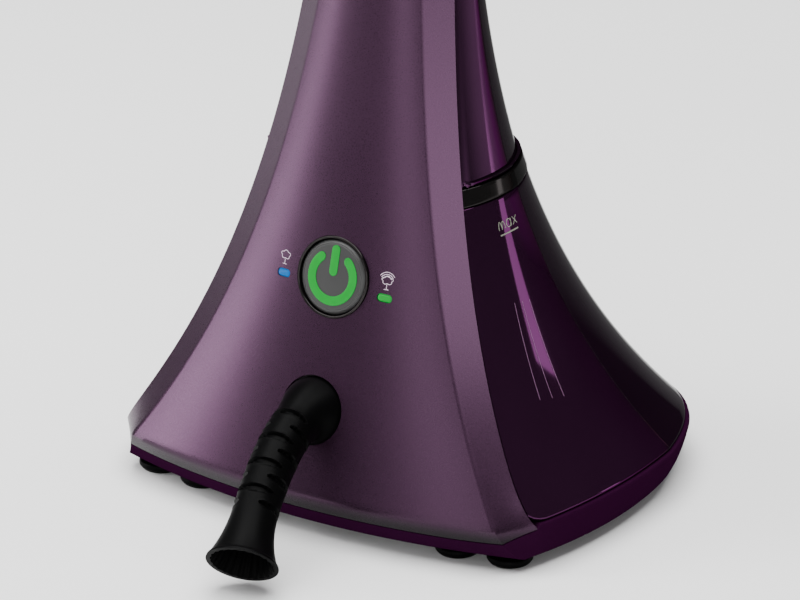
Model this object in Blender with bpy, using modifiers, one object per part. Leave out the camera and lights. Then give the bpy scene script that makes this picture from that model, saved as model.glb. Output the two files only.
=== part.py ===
"""Garment steamer: a flared body with a wrap-round water tank, a hose boot and a telescopic pole.

Metres, +Z up, the front faces -Y. The origin is on the floor under the middle of the bounding box.
"""

import math
from collections import namedtuple

import bmesh
import bpy
import numpy as np
from mathutils import Matrix, Vector

# ---------------------------------------------------------------- driving dimensions
GAP = 0.0004  # left between neighbouring pieces
WALL = 0.0022  # covers
TANK_WALL = 0.0025
KNEE_Z = 0.030  # widest level of the body, above the base skirt
SKIRT_Z = 0.009  # lower edge of the base skirt
FRONT_Z = 0.020  # lower edge of the front shell
BAND_Z = (0.2125, 0.2235)  # the tank lid, seen as a black band
TANK_Z = (0.0325, BAND_Z[0] - GAP)
NECK_Z = 0.452  # top of the body covers
COLLAR_Z = 0.472
COLLAR_R = 0.0235
BUTTON_Z = 0.161
BUTTON_R = 0.026  # outside of the black ring
CAP_R = 0.0235
LED_X, LED_Z = 0.0375, 0.155
BOOT_Z = 0.080
SOCKET_R = 0.0218
POLE_Y = 0.028
POLE_R = (0.016, 0.0135, 0.011)
POLE_WALL = 0.0015
ARM_LENGTH = 0.124
ARM_PIVOT_Z = 0.602
ARM_TOP_Z = 0.606
LEVER_Z = (0.498, 0.539)
HEAD_Z = 0.592
ICON_R = 0.0146  # middle of the power symbol's arc
CLAMP_WALL = 0.0062
PIN_OUT = 0.0048  # lever pin, out from the clamp's skin
ARM_X = 0.0285  # middle of a folded arm
VALVE_X, VALVE_Z = -0.045, 0.056
LATCH_Z = 0.262


# ---------------------------------------------------------------- scene, materials
for stale in list(bpy.data.objects):
    bpy.data.objects.remove(stale, do_unlink=True)

PARTS = bpy.data.collections.new("garment_steamer")
CUTTERS = bpy.data.collections.new("cutters")
for group in (PARTS, CUTTERS):
    bpy.context.scene.collection.children.link(group)


def material(name, colour, roughness, metallic=0.0, alpha=1.0):
    made = bpy.data.materials.new(name)
    made.use_nodes = True
    shader = made.node_tree.nodes["Principled BSDF"]
    shader.inputs["Base Color"].default_value = (*colour, 1)
    shader.inputs["Roughness"].default_value = roughness
    shader.inputs["Metallic"].default_value = metallic
    shader.inputs["Alpha"].default_value = alpha
    return made


PLUM_SATIN = material("plum_satin", (0.090, 0.036, 0.085), 0.35, 0.5)
PLUM_GLOSS = material("plum_gloss", (0.035, 0.010, 0.032), 0.08)
TANK_TINT = material("tank_tint", (0.030, 0.006, 0.028), 0.05, 0.0, 0.8)
BLACK_GLOSS = material("black_gloss", (0.010, 0.010, 0.010), 0.15)
BLACK_MATT = material("black_matt", (0.020, 0.020, 0.020), 0.55)
RUBBER = material("rubber", (0.012, 0.012, 0.012), 0.6)
GREEN = material("green_lens", (0.01, 0.45, 0.09), 0.3)
BLUE = material("blue_lens", (0.0, 0.23, 0.60), 0.3)
STEEL = material("steel", (0.60, 0.60, 0.60), 0.3, 1.0)
ALUMINIUM = material("aluminium", (0.72, 0.72, 0.73), 0.35, 1.0)
CAST = material("cast_aluminium", (0.50, 0.50, 0.50), 0.5, 1.0)
GREY_PLASTIC = material("grey_plastic", (0.20, 0.20, 0.21), 0.5)
BOARD = material("circuit_board", (0.02, 0.16, 0.06), 0.4)
SILICONE = material("silicone", (0.70, 0.68, 0.62), 0.5)


# ---------------------------------------------------------------- mesh helpers
def add(name, mesh, finish, group=PARTS):
    thing = bpy.data.objects.new(name, mesh)
    group.objects.link(thing)
    if finish:
        mesh.materials.append(finish)
    if group is CUTTERS:
        thing.hide_render = True
        thing.display_type = "WIRE"
    return thing


def finish_bmesh(name, bm, finish, group=PARTS, smooth=True):
    mesh = bpy.data.meshes.new(name)
    bmesh.ops.recalc_face_normals(bm, faces=bm.faces)
    bm.to_mesh(mesh)
    bm.free()
    if smooth:
        mesh.shade_smooth()
        mesh.set_sharp_from_angle(angle=math.radians(35))
    return add(name, mesh, finish, group)


def frame_along(axis):
    """Rotation that takes +Z to the given direction."""
    return Vector((0, 0, 1)).rotation_difference(Vector(axis).normalized()).to_matrix().to_4x4()


def box(name, size, centre, finish, group=PARTS, bevel=0.0, turn=None):
    bm = bmesh.new()
    bmesh.ops.create_cube(bm, size=1.0, matrix=Matrix.Diagonal((*size, 1)))
    if bevel:
        bmesh.ops.bevel(bm, geom=bm.edges[:], offset=bevel, segments=1, affect="EDGES")
    made = finish_bmesh(name, bm, finish, group)
    made.matrix_world = Matrix.Translation(centre) @ (turn or Matrix.Identity(4))
    return made


def cylinder(name, radius, centre, axis, length, finish, group=PARTS, sides=24, end_radius=None):
    """Cylinder or cone centred on a point, its +Z end towards axis."""
    bm = bmesh.new()
    last = radius if end_radius is None else end_radius
    bmesh.ops.create_cone(bm, cap_ends=True, segments=sides, radius1=radius, radius2=last, depth=length)
    made = finish_bmesh(name, bm, finish, group)
    made.matrix_world = Matrix.Translation(centre) @ frame_along(axis)
    return made


def turned(name, profile, place, axis, finish, group=PARTS, steps=24):
    """Profile of (radius, height) points turned about an axis through place; closed if its ends meet."""
    closed = profile[0] == profile[-1]
    points = profile[:-1] if closed else profile
    edges = [(i, i + 1) for i in range(len(points) - 1)] + ([(len(points) - 1, 0)] if closed else [])
    mesh = bpy.data.meshes.new(name)
    mesh.from_pydata([(r, 0, h) for r, h in points], edges, [])
    made = add(name, mesh, finish, group)
    screw = made.modifiers.new("turn", "SCREW")
    screw.steps = screw.render_steps = steps
    screw.use_merge_vertices = True
    screw.merge_threshold = 1e-5
    screw.use_smooth_shade = True
    made.matrix_world = Matrix.Translation(place) @ frame_along(axis)
    return made


def tube(name, points, radius, finish, resolution=1):
    """Bent tube or wire along a list of points."""
    curve = bpy.data.curves.new(name, "CURVE")
    curve.dimensions = "3D"
    curve.bevel_depth = radius
    curve.bevel_resolution = resolution
    curve.use_fill_caps = True
    spline = curve.splines.new("POLY")
    spline.points.add(len(points) - 1)
    for target, point in zip(spline.points, points):
        target.co = (*point, 1)
    return add(name, curve, finish)


def coil(name, place, axis, radius, length, turns, wire, finish):
    """Compression spring: a helix of wire, eight points a turn."""
    count = turns * 8 + 1
    turn = Matrix.Translation(place) @ frame_along(axis)
    points = []
    for i in range(count):
        angle = math.tau * i / 8
        local = Vector((radius * math.cos(angle), radius * math.sin(angle), length * i / (count - 1)))
        points.append(turn @ local)
    return tube(name, points, wire, finish)


def loft(name, rings, finish, group=PARTS):
    """Closed solid through rings of equally many points, each ring anticlockwise from above."""
    bm = bmesh.new()
    rows = [[bm.verts.new(p) for p in ring] for ring in rings]
    for low, high in zip(rows, rows[1:]):
        for i in range(len(low)):
            j = (i + 1) % len(low)
            bm.faces.new((low[i], low[j], high[j], high[i]))
    bm.faces.new(list(reversed(rows[0])))
    bm.faces.new(rows[-1])
    return finish_bmesh(name, bm, finish, group)


def sheet(name, rows, thickness, finish):
    """Open surface through rows of points, thickened inwards."""
    bm = bmesh.new()
    grid = [[bm.verts.new(p) for p in row] for row in rows]
    for low, high in zip(grid, grid[1:]):
        for i in range(len(low) - 1):
            bm.faces.new((low[i], low[i + 1], high[i + 1], high[i]))
    mesh = bpy.data.meshes.new(name)
    bm.to_mesh(mesh)
    bm.free()
    made = add(name, mesh, finish)
    wall = made.modifiers.new("wall", "SOLIDIFY")
    wall.thickness = thickness
    wall.offset = -1
    wall.use_even_offset = True
    return made


def cut(target, cutter, operation="DIFFERENCE"):
    tool = target.modifiers.new(operation.lower(), "BOOLEAN")
    tool.operation = operation
    tool.object = cutter
    tool.solver = "EXACT"


def joined(name, pieces, finish):
    """One body from overlapping pieces: the first keeps its mesh, the others are united with it."""
    first = pieces[0]
    first.name = name
    for other in pieces[1:]:
        PARTS.objects.unlink(other)
        CUTTERS.objects.link(other)
        other.hide_render = True
        other.display_type = "WIRE"
        cut(first, other, "UNION")
    first.data.materials.clear()
    first.data.materials.append(finish)
    return first


# ---------------------------------------------------------------- the body's outline
# One level of the body, right half: the front face runs from the middle to front_edge, a chamfered
# strip from there to strip_edge, the side to rear_edge, and the rear in a Bezier arc to the middle.
Section = namedtuple("Section", "front_edge strip_edge rear_edge sag bulge rear_y")


def fade(z, length):
    return math.exp(-(z - KNEE_Z) / length)


def body_section(z):
    near = fade(z, 0.169)
    half = 0.0346 + 0.1194 * near
    edge_y = 0.0662 - 0.1312 * fade(z, 0.409)
    flare = 0.010 * fade(z, 0.010)
    side = -0.035 + 0.1867 * fade(z, 0.225)
    side = 0.5 * (side + math.hypot(side, 0.020))
    strip = np.array((half, edge_y + flare))
    front = np.array((half - 0.0175, edge_y - 0.0107))
    rear = np.array((half + 0.0055 + 0.0059 * near, edge_y + side))
    rear_y = rear[1] + 0.0103 + 0.1011 * fade(z, 0.2265)
    return Section(front, strip, rear, 0.004 + 0.015 * near, 0.0015 + 0.0065 * near, rear_y)


KNEE = body_section(KNEE_Z)
FOOT = Section(  # lower edge of the skirt: the strip has closed to a corner
    np.array((0.1497, -0.0600)), np.array((0.1520, -0.0489)), np.array((0.1574, 0.0852)), 0.024, 0.008, 0.183
)


def section_at(z):
    """Body section, drawn in below the knee along a quarter of an ellipse."""
    if z >= KNEE_Z:
        return body_section(z)
    drop = (KNEE_Z - z) / (KNEE_Z - SKIRT_Z)
    share = 1 - math.sqrt(max(0.0, 1 - drop**2))
    share = 0.5 * (share + drop)
    return Section(*(a + (b - a) * share for a, b in zip(KNEE, FOOT)))


def front_half(s, count):
    """From just right of the middle out to the strip's outer edge."""
    t = np.linspace(0, 1, count + 1)
    x = s.front_edge[0] * t
    y = s.front_edge[1] - s.sag * (1 - t**2)
    return np.vstack([np.stack([x, y], 1), s.strip_edge])


def rear_half(s, sides, rears):
    """From the strip's outer edge round to the middle of the rear."""
    t = np.linspace(0, 1, sides + 1)[:, None]
    side = s.strip_edge + (s.rear_edge - s.strip_edge) * t
    side = side + np.array((4 * s.bulge, 0)) * t * (1 - t)
    t = np.linspace(0, 1, rears + 1)[1:, None]
    depth = s.rear_y - s.rear_edge[1]
    first = s.rear_edge + np.array((-math.sin(math.radians(6)), math.cos(math.radians(6)))) * depth * 0.8
    last = np.array((0, s.rear_y))
    second = last + np.array((s.rear_edge[0] * 0.55, 0))
    rear = (1 - t) ** 3 * s.rear_edge + 3 * (1 - t) ** 2 * t * first + 3 * (1 - t) * t**2 * second + t**3 * last
    return np.vstack([side, rear])


def both(half, join_at_start):
    """Mirror a half outline in x = 0; its point on the plane is at its start or at its end."""
    mirror = half[::-1] * (-1, 1)
    return np.vstack([mirror[:-1], half]) if join_at_start else np.vstack([half, mirror[1:]])


def level(outline, z):
    heights = np.broadcast_to(z, (len(outline), 1))
    return np.hstack([outline, heights])


def front_line(z, count=4):
    return both(front_half(section_at(z), count), True)


def rear_line(z, sides=4, rears=4):
    return both(rear_half(section_at(z), sides, rears), False)


def ring(z):
    """The whole outline, anticlockwise from the right strip's outer edge."""
    return np.vstack([rear_line(z), front_line(z)[1:-1]])


def inset(outline, distance):
    """Move each corner of an anticlockwise outline inwards by distance from both its sides."""
    before = outline - np.roll(outline, 1, 0)
    after = np.roll(outline, -1, 0) - outline
    inward = []
    for edge in (before, after):
        edge = edge / np.linalg.norm(edge, axis=1)[:, None]
        inward.append(np.stack([-edge[:, 1], edge[:, 0]], 1))
    corner = inward[0] + inward[1]
    return outline + distance * 2 * corner / (corner**2).sum(1)[:, None]


def front_y(z):
    s = section_at(z)
    return float(s.front_edge[1] - s.sag)


def front_normal(z):
    step = 0.002
    lean = (front_y(z + step) - front_y(z - step)) / (2 * step)
    return Vector((0, -1, lean)).normalized()


def on_front(x, z):
    s = section_at(z)
    y = s.front_edge[1] - s.sag * (1 - (x / s.front_edge[0]) ** 2)
    return Vector((x, float(y), z))


# The tank straddles the chassis: its bay is this wide and reaches this far back at each level.
def bay_half(z):
    return 0.108 - 0.34 * (z - TANK_Z[0])


def bay_rear(z):
    return 0.071 - 0.06 * (z - TANK_Z[0])


# ---------------------------------------------------------------- base
def spaced(low, high, count, power=1.0):
    return [low + (high - low) * (i / (count - 1)) ** power for i in range(count)]


def build_base():
    deck_z = KNEE_Z + 0.001
    step_z = FRONT_Z - GAP
    rows = []
    for z in spaced(SKIRT_Z, step_z, 4):
        rows.append(level(ring(z), z))
    behind = WALL + 2 * GAP  # above the front shell's lower edge the tray steps back behind it
    for z in (step_z, deck_z):
        outline = ring(z)
        front = outline[:, 1] < section_at(z).strip_edge[1] + 0.0005
        stepped = outline.copy()
        stepped[front] = inset(outline, behind + 0.003)[front]
        rows.append(level(stepped, z))
    tray = loft("base_tray", rows, PLUM_SATIN)
    cavity = []
    for z in (SKIRT_Z - 0.002, deck_z - 0.003):
        s = section_at(max(z, SKIRT_Z))
        outline = inset(np.vstack([both(rear_half(s, 3, 3), False), both(front_half(s, 2), True)[1:-1]]), 0.011)
        cavity.append(level(outline, z))
    cut(tray, loft("tray_cavity", cavity, None, CUTTERS))
    well = cylinder("pole_well", POLE_R[0] + 0.0006, (0, POLE_Y, deck_z), (0, 0, 1), 0.02, None, CUTTERS)
    cut(tray, well)

    plate_z = (SKIRT_Z - 0.0026, SKIRT_Z - GAP)
    outline = inset(ring(SKIRT_Z), 0.006)
    loft("base_plate", [level(outline, z) for z in plate_z], BLACK_MATT)

    feet = {
        "foot_front_left": (-0.131, -0.050), "foot_front_right": (0.131, -0.050),
        "foot_inner_left": (-0.096, -0.055), "foot_inner_right": (0.096, -0.055),
        "foot_rear_left": (-0.105, 0.112), "foot_rear_right": (0.105, 0.112),
    }
    top = plate_z[0] - GAP
    for name, (x, y) in feet.items():
        profile = [(0, top), (0.0140, top), (0.0148, 0.0030), (0.0125, 0), (0, 0)]
        turned(name, profile, (x, y, 0), (0, 0, 1), RUBBER, steps=20)
    for i, (x, y) in enumerate([(-0.12, 0.02), (0.12, 0.02), (-0.06, 0.145), (0.06, 0.145)]):
        profile = [(0, top), (0.0042, top), (0.0030, top - 0.0020), (0, top - 0.0024)]
        turned(f"screw_{i + 1}", profile, (x, y, 0), (0, 0, 1), STEEL, steps=12)

    gland_x, gland_z = -0.075, 0.0175
    line = rear_line(gland_z, 12, 40)
    rear = line[np.argmin(abs(line[:, 0] - gland_x))]
    out = Vector((-0.35, 0.94, 0)).normalized()
    start = Vector((rear[0], rear[1], gland_z)) - out * 0.0005
    bore = [(0.0044, 0.0100), (0.0062, 0.0100), (0.0074, 0.0015), (0, 0.0015), (0, 0.0030), (0.0044, 0.0030),
            (0.0044, 0.0100)]
    turned("mains_gland", bore, start + out * 0.001, out, RUBBER, steps=16)


# ---------------------------------------------------------------- covers
def build_covers():
    heights = spaced(0.0, 1.0, 13, 1.7)
    rows = []
    for t in heights:
        z = FRONT_Z + (NECK_Z - FRONT_Z) * t
        row = level(front_line(z), z)
        lift = 0.009 * (1 - t) ** 12  # the strips end on a slant above the skirt's corner
        for i in (0, -1):
            higher = z + lift
            row[i] = (*(section_at(higher).strip_edge * ((-1 if i == 0 else 1), 1)), higher)
        rows.append(row)
    front = sheet("front_shell", rows, WALL, PLUM_SATIN)
    normal = front_normal(BUTTON_Z)
    middle = on_front(0, BUTTON_Z)
    cut(front, cylinder("button_hole", BUTTON_R + GAP, middle, normal, 0.04, None, CUTTERS, 32))
    socket = on_front(0, BOOT_Z)
    cut(front, cylinder("boot_hole", SOCKET_R + GAP, socket, front_normal(BOOT_Z), 0.04, None, CUTTERS, 28))
    for side, name in ((-1, "left"), (1, "right")):
        spot = on_front(side * LED_X, LED_Z)
        cut(front, box(f"led_slot_{name}", (0.0106, 0.03, 0.0056), spot, None, CUTTERS))

    low = BAND_Z[1] + 0.001
    rows = []
    for t in spaced(0.0, 1.0, 8, 1.3):
        z = low + (NECK_Z - low) * t
        line = rear_line(z)
        line[0] += (0, 0.0032)
        line[-1] += (0, 0.0032)
        rows.append(level(inset_open(line, 0.0015 * (1 - t)), z))
    rear = sheet("rear_cover", rows, WALL, PLUM_GLOSS)
    latch = latch_place()
    cut(rear, box("latch_slot", (0.0304, 0.03, 0.0144), latch, None, CUTTERS))

    line = ring(NECK_Z)
    rings = [level(line, NECK_Z + GAP)]
    angles = np.unwrap(np.arctan2(line[:, 1] - POLE_Y, line[:, 0]))
    for share, z in ((0.25, NECK_Z + 0.006), (0.75, NECK_Z + 0.014), (1.0, COLLAR_Z)):
        circle = np.stack([COLLAR_R * np.cos(angles), POLE_Y + COLLAR_R * np.sin(angles)], 1)
        rings.append(level(line + (circle - line) * share, z))
    collar = loft("neck_collar", rings, BLACK_GLOSS)
    cut(collar, cylinder("collar_hole", POLE_R[0] + GAP, (0, POLE_Y, NECK_Z), (0, 0, 1), 0.08, None, CUTTERS, 24))


def inset_open(line, distance):
    """Inset of an open line: its two ends keep their place."""
    moved = inset(line, distance)
    moved[0], moved[-1] = line[0], line[-1]
    return moved


def latch_place():
    s = section_at(LATCH_Z)
    return Vector((0, s.rear_y, LATCH_Z))


# ---------------------------------------------------------------- tank and its bay
def tank_ring(z, grow=0.0):
    outer = rear_line(z)
    outer[0] += (-0.0002, 0.0008)
    outer[-1] += (0.0002, 0.0008)
    half, rear, front = bay_half(z), bay_rear(z), outer[0][1] + 0.0030
    step = outer[0] + (-0.0017, 0.0030 - 0.0004)
    step[1] = front
    mirror = step * (-1, 1)
    inner = np.array([(-half, front), (-half, rear), (half, rear), (half, front)])
    ringed = np.vstack([outer, mirror, inner, step])
    return inset(ringed, -grow) if grow else ringed


def build_tank():
    rows = [level(tank_ring(z), z) for z in spaced(*TANK_Z, 8, 1.2)]
    tank = loft("tank", rows, TANK_TINT)
    cavity = []
    floor = TANK_Z[0] + TANK_WALL
    for z in spaced(floor, TANK_Z[1] + 0.004, 7, 1.2):
        cavity.append(level(tank_ring(z, -TANK_WALL), z))
    cut(tank, loft("tank_cavity", cavity, None, CUTTERS))

    lid = loft("tank_lid", [level(tank_ring(z), z) for z in BAND_Z], BLACK_GLOSS)
    port = cylinder("fill_port", 0.009, (0, 0.5 * (bay_rear(0.218) + section_at(0.218).rear_y), 0.218),
                    (0, 0, 1), 0.04, None, CUTTERS, 20)
    cut(lid, port)

    wall_y = bay_rear(VALVE_Z) - 0.0003
    valve = (VALVE_X, wall_y, VALVE_Z)
    nozzle = [(0.0028, 0.0005), (0.0050, 0.0005), (0.0050, 0.0140), (0.0028, 0.0140), (0.0028, 0.0005)]
    turned("tank_valve", list(reversed(nozzle)), valve, (0, -1, 0), BLACK_MATT, steps=16)

    rows = []
    for z in spaced(KNEE_Z + 0.0025, TANK_Z[1], 4):
        half, rear = bay_half(z) - 0.001, bay_rear(z) - 0.001
        front = section_at(z).strip_edge[1] + 0.006
        rows.append([(half, front, z), (half, rear, z), (-half, rear, z), (-half, front, z)])
    chassis = sheet("chassis", rows, WALL, GREY_PLASTIC)
    hole = cylinder("valve_hole", 0.0120, valve, (0, 1, 0), 0.03, None, CUTTERS, 20)
    cut(chassis, hole)
    seat = [(0.0075, 0.0030), (0.0115, 0.0030), (0.0115, 0.0200), (0.0034, 0.0200), (0.0034, 0.0160),
            (0.0075, 0.0160), (0.0075, 0.0030)]
    turned("inlet_seat", list(reversed(seat)), valve, (0, -1, 0), SILICONE, steps=16)


# ---------------------------------------------------------------- button, lamps
def build_button():
    normal = front_normal(BUTTON_Z)
    middle = on_front(0, BUTTON_Z)
    rim = [(CAP_R + 0.0003, 0.0006), (BUTTON_R, 0.0006), (BUTTON_R, -0.0060), (CAP_R + 0.0003, -0.0060)]
    turned("button_ring", rim + rim[:1], middle, normal, BLACK_GLOSS, steps=32)
    cap = [(0, 0.0004), (CAP_R - 0.0012, 0.0001), (CAP_R, -0.0010), (CAP_R, -0.0050), (0, -0.0050)]
    turned("power_button", cap, middle, normal, BLACK_MATT, steps=32)
    across = Vector((1, 0, 0))
    up = normal.cross(across)
    raised = middle + normal * 0.0012
    bend = [math.radians(90 + 42 + (360 - 84) * i / 18) for i in range(19)]
    arc = [raised + ICON_R * (math.cos(a) * across + math.sin(a) * up) for a in bend]
    tube("power_icon_arc", arc, 0.0006, GREEN, 1)
    tube("power_icon_bar", [raised + up * 0.0015, raised + up * 0.0148], 0.0006, GREEN, 1)
    behind = Matrix.Translation(middle - normal * 0.0165) @ frame_along(normal)
    bm = bmesh.new()
    bmesh.ops.create_cube(bm, size=1.0, matrix=Matrix.Diagonal((0.086, 0.030, 0.0016, 1)))
    board = finish_bmesh("button_board", bm, BOARD)
    board.matrix_world = behind
    cylinder("button_switch", 0.0035, middle - normal * 0.0128, normal, 0.005, BLACK_MATT, sides=12)
    coil("button_spring", middle - normal * 0.0148, normal, 0.0075, 0.0074, 4, 0.0005, STEEL)
    for side, name, finish in ((-1, "left", BLUE), (1, "right", GREEN)):
        spot = on_front(side * LED_X, LED_Z)
        lean = Matrix.Rotation(math.atan2(normal.z, -normal.y) * -1, 4, "X")
        box(f"led_{name}", (0.0098, 0.0045, 0.0048), spot + Vector((0, 0.0014, 0)), finish, turn=lean)


# ---------------------------------------------------------------- hose boot
def boot_path(t):
    """Cubic Bezier from the socket, straight out and then down."""
    start = on_front(0, BOOT_Z) - 0.0030 * front_normal(BOOT_Z)
    first = start + Vector((-0.0008, -0.0364, 0.0040))
    last = Vector((0.0193, -0.1810, 0.0200))
    second = last - Vector((0.0092, -0.0268, -0.0238))
    u = 1 - t
    return u**3 * start + 3 * u * u * t * first + 3 * u * t * t * second + t**3 * last


def boot_radius(t):
    """Slim pipe that opens into a trumpet mouth over its last quarter, and a shoulder at the root."""
    root = 0.0064 * (0.5 + 0.5 * math.cos(math.pi * min(1.0, t / 0.19)))
    mouth = 0.0092 * max(0.0, (t - 0.70) / 0.30) ** 2.0
    return 0.0140 + 0.0010 * (1 - t) + root + mouth


def build_boot():
    sides, count, wall = 14, 15, 0.0028
    stations = spaced(0.0, 1.0, count)
    rings = []
    for outer in (True, False):
        order = stations if outer else stations[::-1]
        for t in order:
            ahead = (boot_path(min(1, t + 0.01)) - boot_path(max(0, t - 0.01))).normalized()
            ahead = front_normal(BOOT_Z).lerp(ahead, min(1, t / 0.15)).normalized()
            across = Vector((1, 0, 0))
            across = (across - ahead * across.dot(ahead)).normalized()
            up = ahead.cross(across)
            r = boot_radius(t) - (0 if outer else wall)
            place = boot_path(t)
            rings.append([place + r * (math.cos(a) * across + math.sin(a) * up)
                          for a in (math.tau * i / sides for i in range(sides))])
    bm = bmesh.new()
    rows = [[bm.verts.new(p) for p in ring_] for ring_ in rings]
    for low, high in zip(rows, rows[1:] + rows[:1]):
        for i in range(sides):
            j = (i + 1) % sides
            bm.faces.new((low[i], low[j], high[j], high[i]))
    finish_bmesh("hose_boot", bm, RUBBER)
    normal = front_normal(BOOT_Z)
    ring_profile = [(0.0118, -0.0036), (SOCKET_R, -0.0036), (SOCKET_R + 0.003, -0.0050), (SOCKET_R + 0.003, -0.0085),
                    (0.0118, -0.0085), (0.0118, -0.0036)]
    turned("boot_socket", ring_profile, on_front(0, BOOT_Z), normal, BLACK_MATT, steps=24)


# ---------------------------------------------------------------- pole and hanger
def pipe(name, radius, low, high, finish):
    bore = radius - POLE_WALL
    profile = [(bore, high), (radius, high), (radius, low), (bore, low), (bore, high)]
    return turned(name, profile, (0, POLE_Y, 0), (0, 0, 1), finish, steps=24)


def clamp(name, low, high, lower_r, upper_r):
    """Collar over the top of one tube, with a rear lug for its lever."""
    skin = lower_r + CLAMP_WALL
    middle = 0.5 * (low + high)
    seat = middle + 0.002
    profile = [(upper_r, high), (skin - 0.002, high), (skin, high - 0.003), (skin, low), (lower_r, low),
               (lower_r, seat), (upper_r, seat), (upper_r, high)]
    collar = turned(name, profile, (0, POLE_Y, 0), (0, 0, 1), BLACK_MATT, steps=24)
    lug = box(name + "_lug", (0.010, 0.0096, 0.0050), (0, POLE_Y + skin + 0.0022, middle), BLACK_MATT)
    cut(lug, cylinder(name + "_lug_pin", 0.0015, (0, POLE_Y + skin + PIN_OUT, middle), (1, 0, 0), 0.03, None,
                      CUTTERS, 12))
    return joined(name, [collar, lug], BLACK_MATT)


def lever(name, z, pin_y):
    """Cam lever: two cheeks either side of the lug, and a tail that hangs behind it."""
    parts = [box(name, (0.0200, 0.0040, 0.0240), (0, pin_y + 0.0058, z - 0.0100), BLACK_GLOSS)]
    for side in (-1, 1):
        parts.append(box(f"{name}_cheek_{side}", (0.0040, 0.0080, 0.0066), (side * 0.0079, pin_y + 0.0008, z - 0.0014),
                         BLACK_GLOSS))
    made = joined(name, parts, BLACK_GLOSS)
    cut(made, cylinder(name + "_bore", 0.0015, (0, pin_y, z), (1, 0, 0), 0.03, None, CUTTERS, 12))
    return made


def build_pole():
    pipe("pole_tube", POLE_R[0], 0.0345, 0.497, ALUMINIUM)
    pipe("pole_stage_2", POLE_R[1], 0.060, 0.538, ALUMINIUM)
    pipe("pole_stage_3", POLE_R[2], 0.075, 0.572, ALUMINIUM)
    clamp("pole_clamp_1", 0.482, 0.514, POLE_R[0] + GAP, POLE_R[1] + 0.0005)
    clamp("pole_clamp_2", 0.523, 0.555, POLE_R[1] + GAP, POLE_R[2] + 0.0005)
    for i, middle, radius in ((1, LEVER_Z[0], POLE_R[0]), (2, LEVER_Z[1], POLE_R[1])):
        pin_y = POLE_Y + radius + GAP + CLAMP_WALL + PIN_OUT
        lever(f"clamp_lever_{i}", middle, pin_y)
        cylinder(f"lever_pin_{i}", 0.0012, (0, pin_y, middle), (1, 0, 0), 0.0196, STEEL, sides=12)

    head = box("hanger_head", (0.066, 0.034, 0.044), (0, POLE_Y, HEAD_Z), BLACK_MATT, bevel=0.004)
    cut(head, cylinder("head_bore", POLE_R[2] + GAP, (0, POLE_Y, 0.560), (0, 0, 1), 0.032, None, CUTTERS, 24))
    for side, name in ((-1, "left"), (1, "right")):
        slot = box(f"arm_slot_{name}", (0.0236, 0.0124, 0.070), (side * 0.0328, POLE_Y, 0.600), None, CUTTERS)
        cut(head, slot)
        pivot = (side * (ARM_X - 0.0005), POLE_Y, ARM_PIVOT_Z)
        bore = cylinder(f"arm_bore_{name}", 0.0021, pivot, (0, 1, 0), 0.05, None, CUTTERS, 12)
        cut(head, bore)
        arm = box(f"hanger_arm_{name}", (0.0080, 0.0110, ARM_LENGTH),
                  (side * ARM_X, POLE_Y, ARM_TOP_Z - ARM_LENGTH / 2), BLACK_GLOSS, bevel=0.0015)
        cut(arm, bore)
        cylinder(f"arm_pin_{name}", 0.0018, pivot, (0, 1, 0), 0.030, STEEL, sides=12)
    hook = [Vector((0, POLE_Y - 0.016 - y, 0.596 + z)) for y, z in
            ((0.0, 0.0), (0.012, -0.002), (0.024, -0.010), (0.034, -0.008), (0.040, 0.002), (0.041, 0.016))]
    tube("head_hook", [p - Vector((0, 0.0036, 0)) for p in hook], 0.0032, BLACK_MATT, 1)


# ---------------------------------------------------------------- inside
def build_inside():
    base = KNEE_Z + 0.0016
    bx, by = 0.047, -0.021
    shape = [(0, base + 0.066), (0.022, base + 0.066), (0.029, base + 0.058), (0.029, base), (0, base)]
    turned("boiler", shape, (bx, by, 0), (0, 0, 1), CAST, steps=20)
    top = base + 0.066 + GAP
    cylinder("thermostat", 0.0085, (bx, by, top + 0.004), (0, 0, 1), 0.008, STEEL, sides=16)
    for side, name in ((-1, "left"), (1, "right")):
        box(f"boiler_terminal_{name}", (0.0010, 0.0063, 0.010), (bx + side * 0.014, by, top + 0.005), STEEL)
    cylinder("thermal_fuse", 0.0022, (bx, by + 0.0315, base + 0.035), (0, 0, 1), 0.016, SILICONE, sides=10)
    px, py = -0.050, -0.023
    cylinder("pump_motor", 0.0135, (px, py, base + 0.052), (0, 0, 1), 0.034, STEEL, sides=16)
    box("pump_head", (0.032, 0.034, 0.034), (px, py, base + 0.0172), BLACK_MATT, bevel=0.003)
    tube("inlet_tube", [(VALVE_X, 0.0485, VALVE_Z), (VALVE_X, 0.040, 0.0555), (-0.0465, 0.028, 0.053),
                        (-0.049, 0.012, 0.0495), (-0.050, -0.0055, 0.0485)], 0.0028, SILICONE)
    tube("feed_tube", [(px + 0.0165, py, 0.044), (-0.018, -0.023, 0.043), (0.002, -0.022, 0.045),
                       (bx - 0.0295, by, 0.046)], 0.0028, SILICONE)
    tube("steam_tube", [(bx, by - 0.0155, top + 0.0005), (bx, by - 0.0160, top + 0.010), (0.036, -0.040, 0.112),
                        (0.016, -0.048, 0.103), (0.002, -0.050, 0.090), (0.0, -0.0545, 0.0815),
                        (0.0, -0.0630, 0.0805)], 0.0050, SILICONE, 2)
    box("control_board", (0.064, 0.0016, 0.056), (0, 0.0035, 0.150), BOARD)


def build_latch():
    place = latch_place()
    box("tank_latch", (0.0296, 0.0090, 0.0136), place + Vector((0, -0.0030, 0)), BLACK_GLOSS, bevel=0.0015)
    coil("latch_spring", place + Vector((0, -0.0122, 0)), (0, -1, 0), 0.0030, 0.012, 4, 0.0004, STEEL)


build_base()
build_covers()
build_tank()
build_button()
build_boot()
build_pole()
build_inside()
build_latch()
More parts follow.
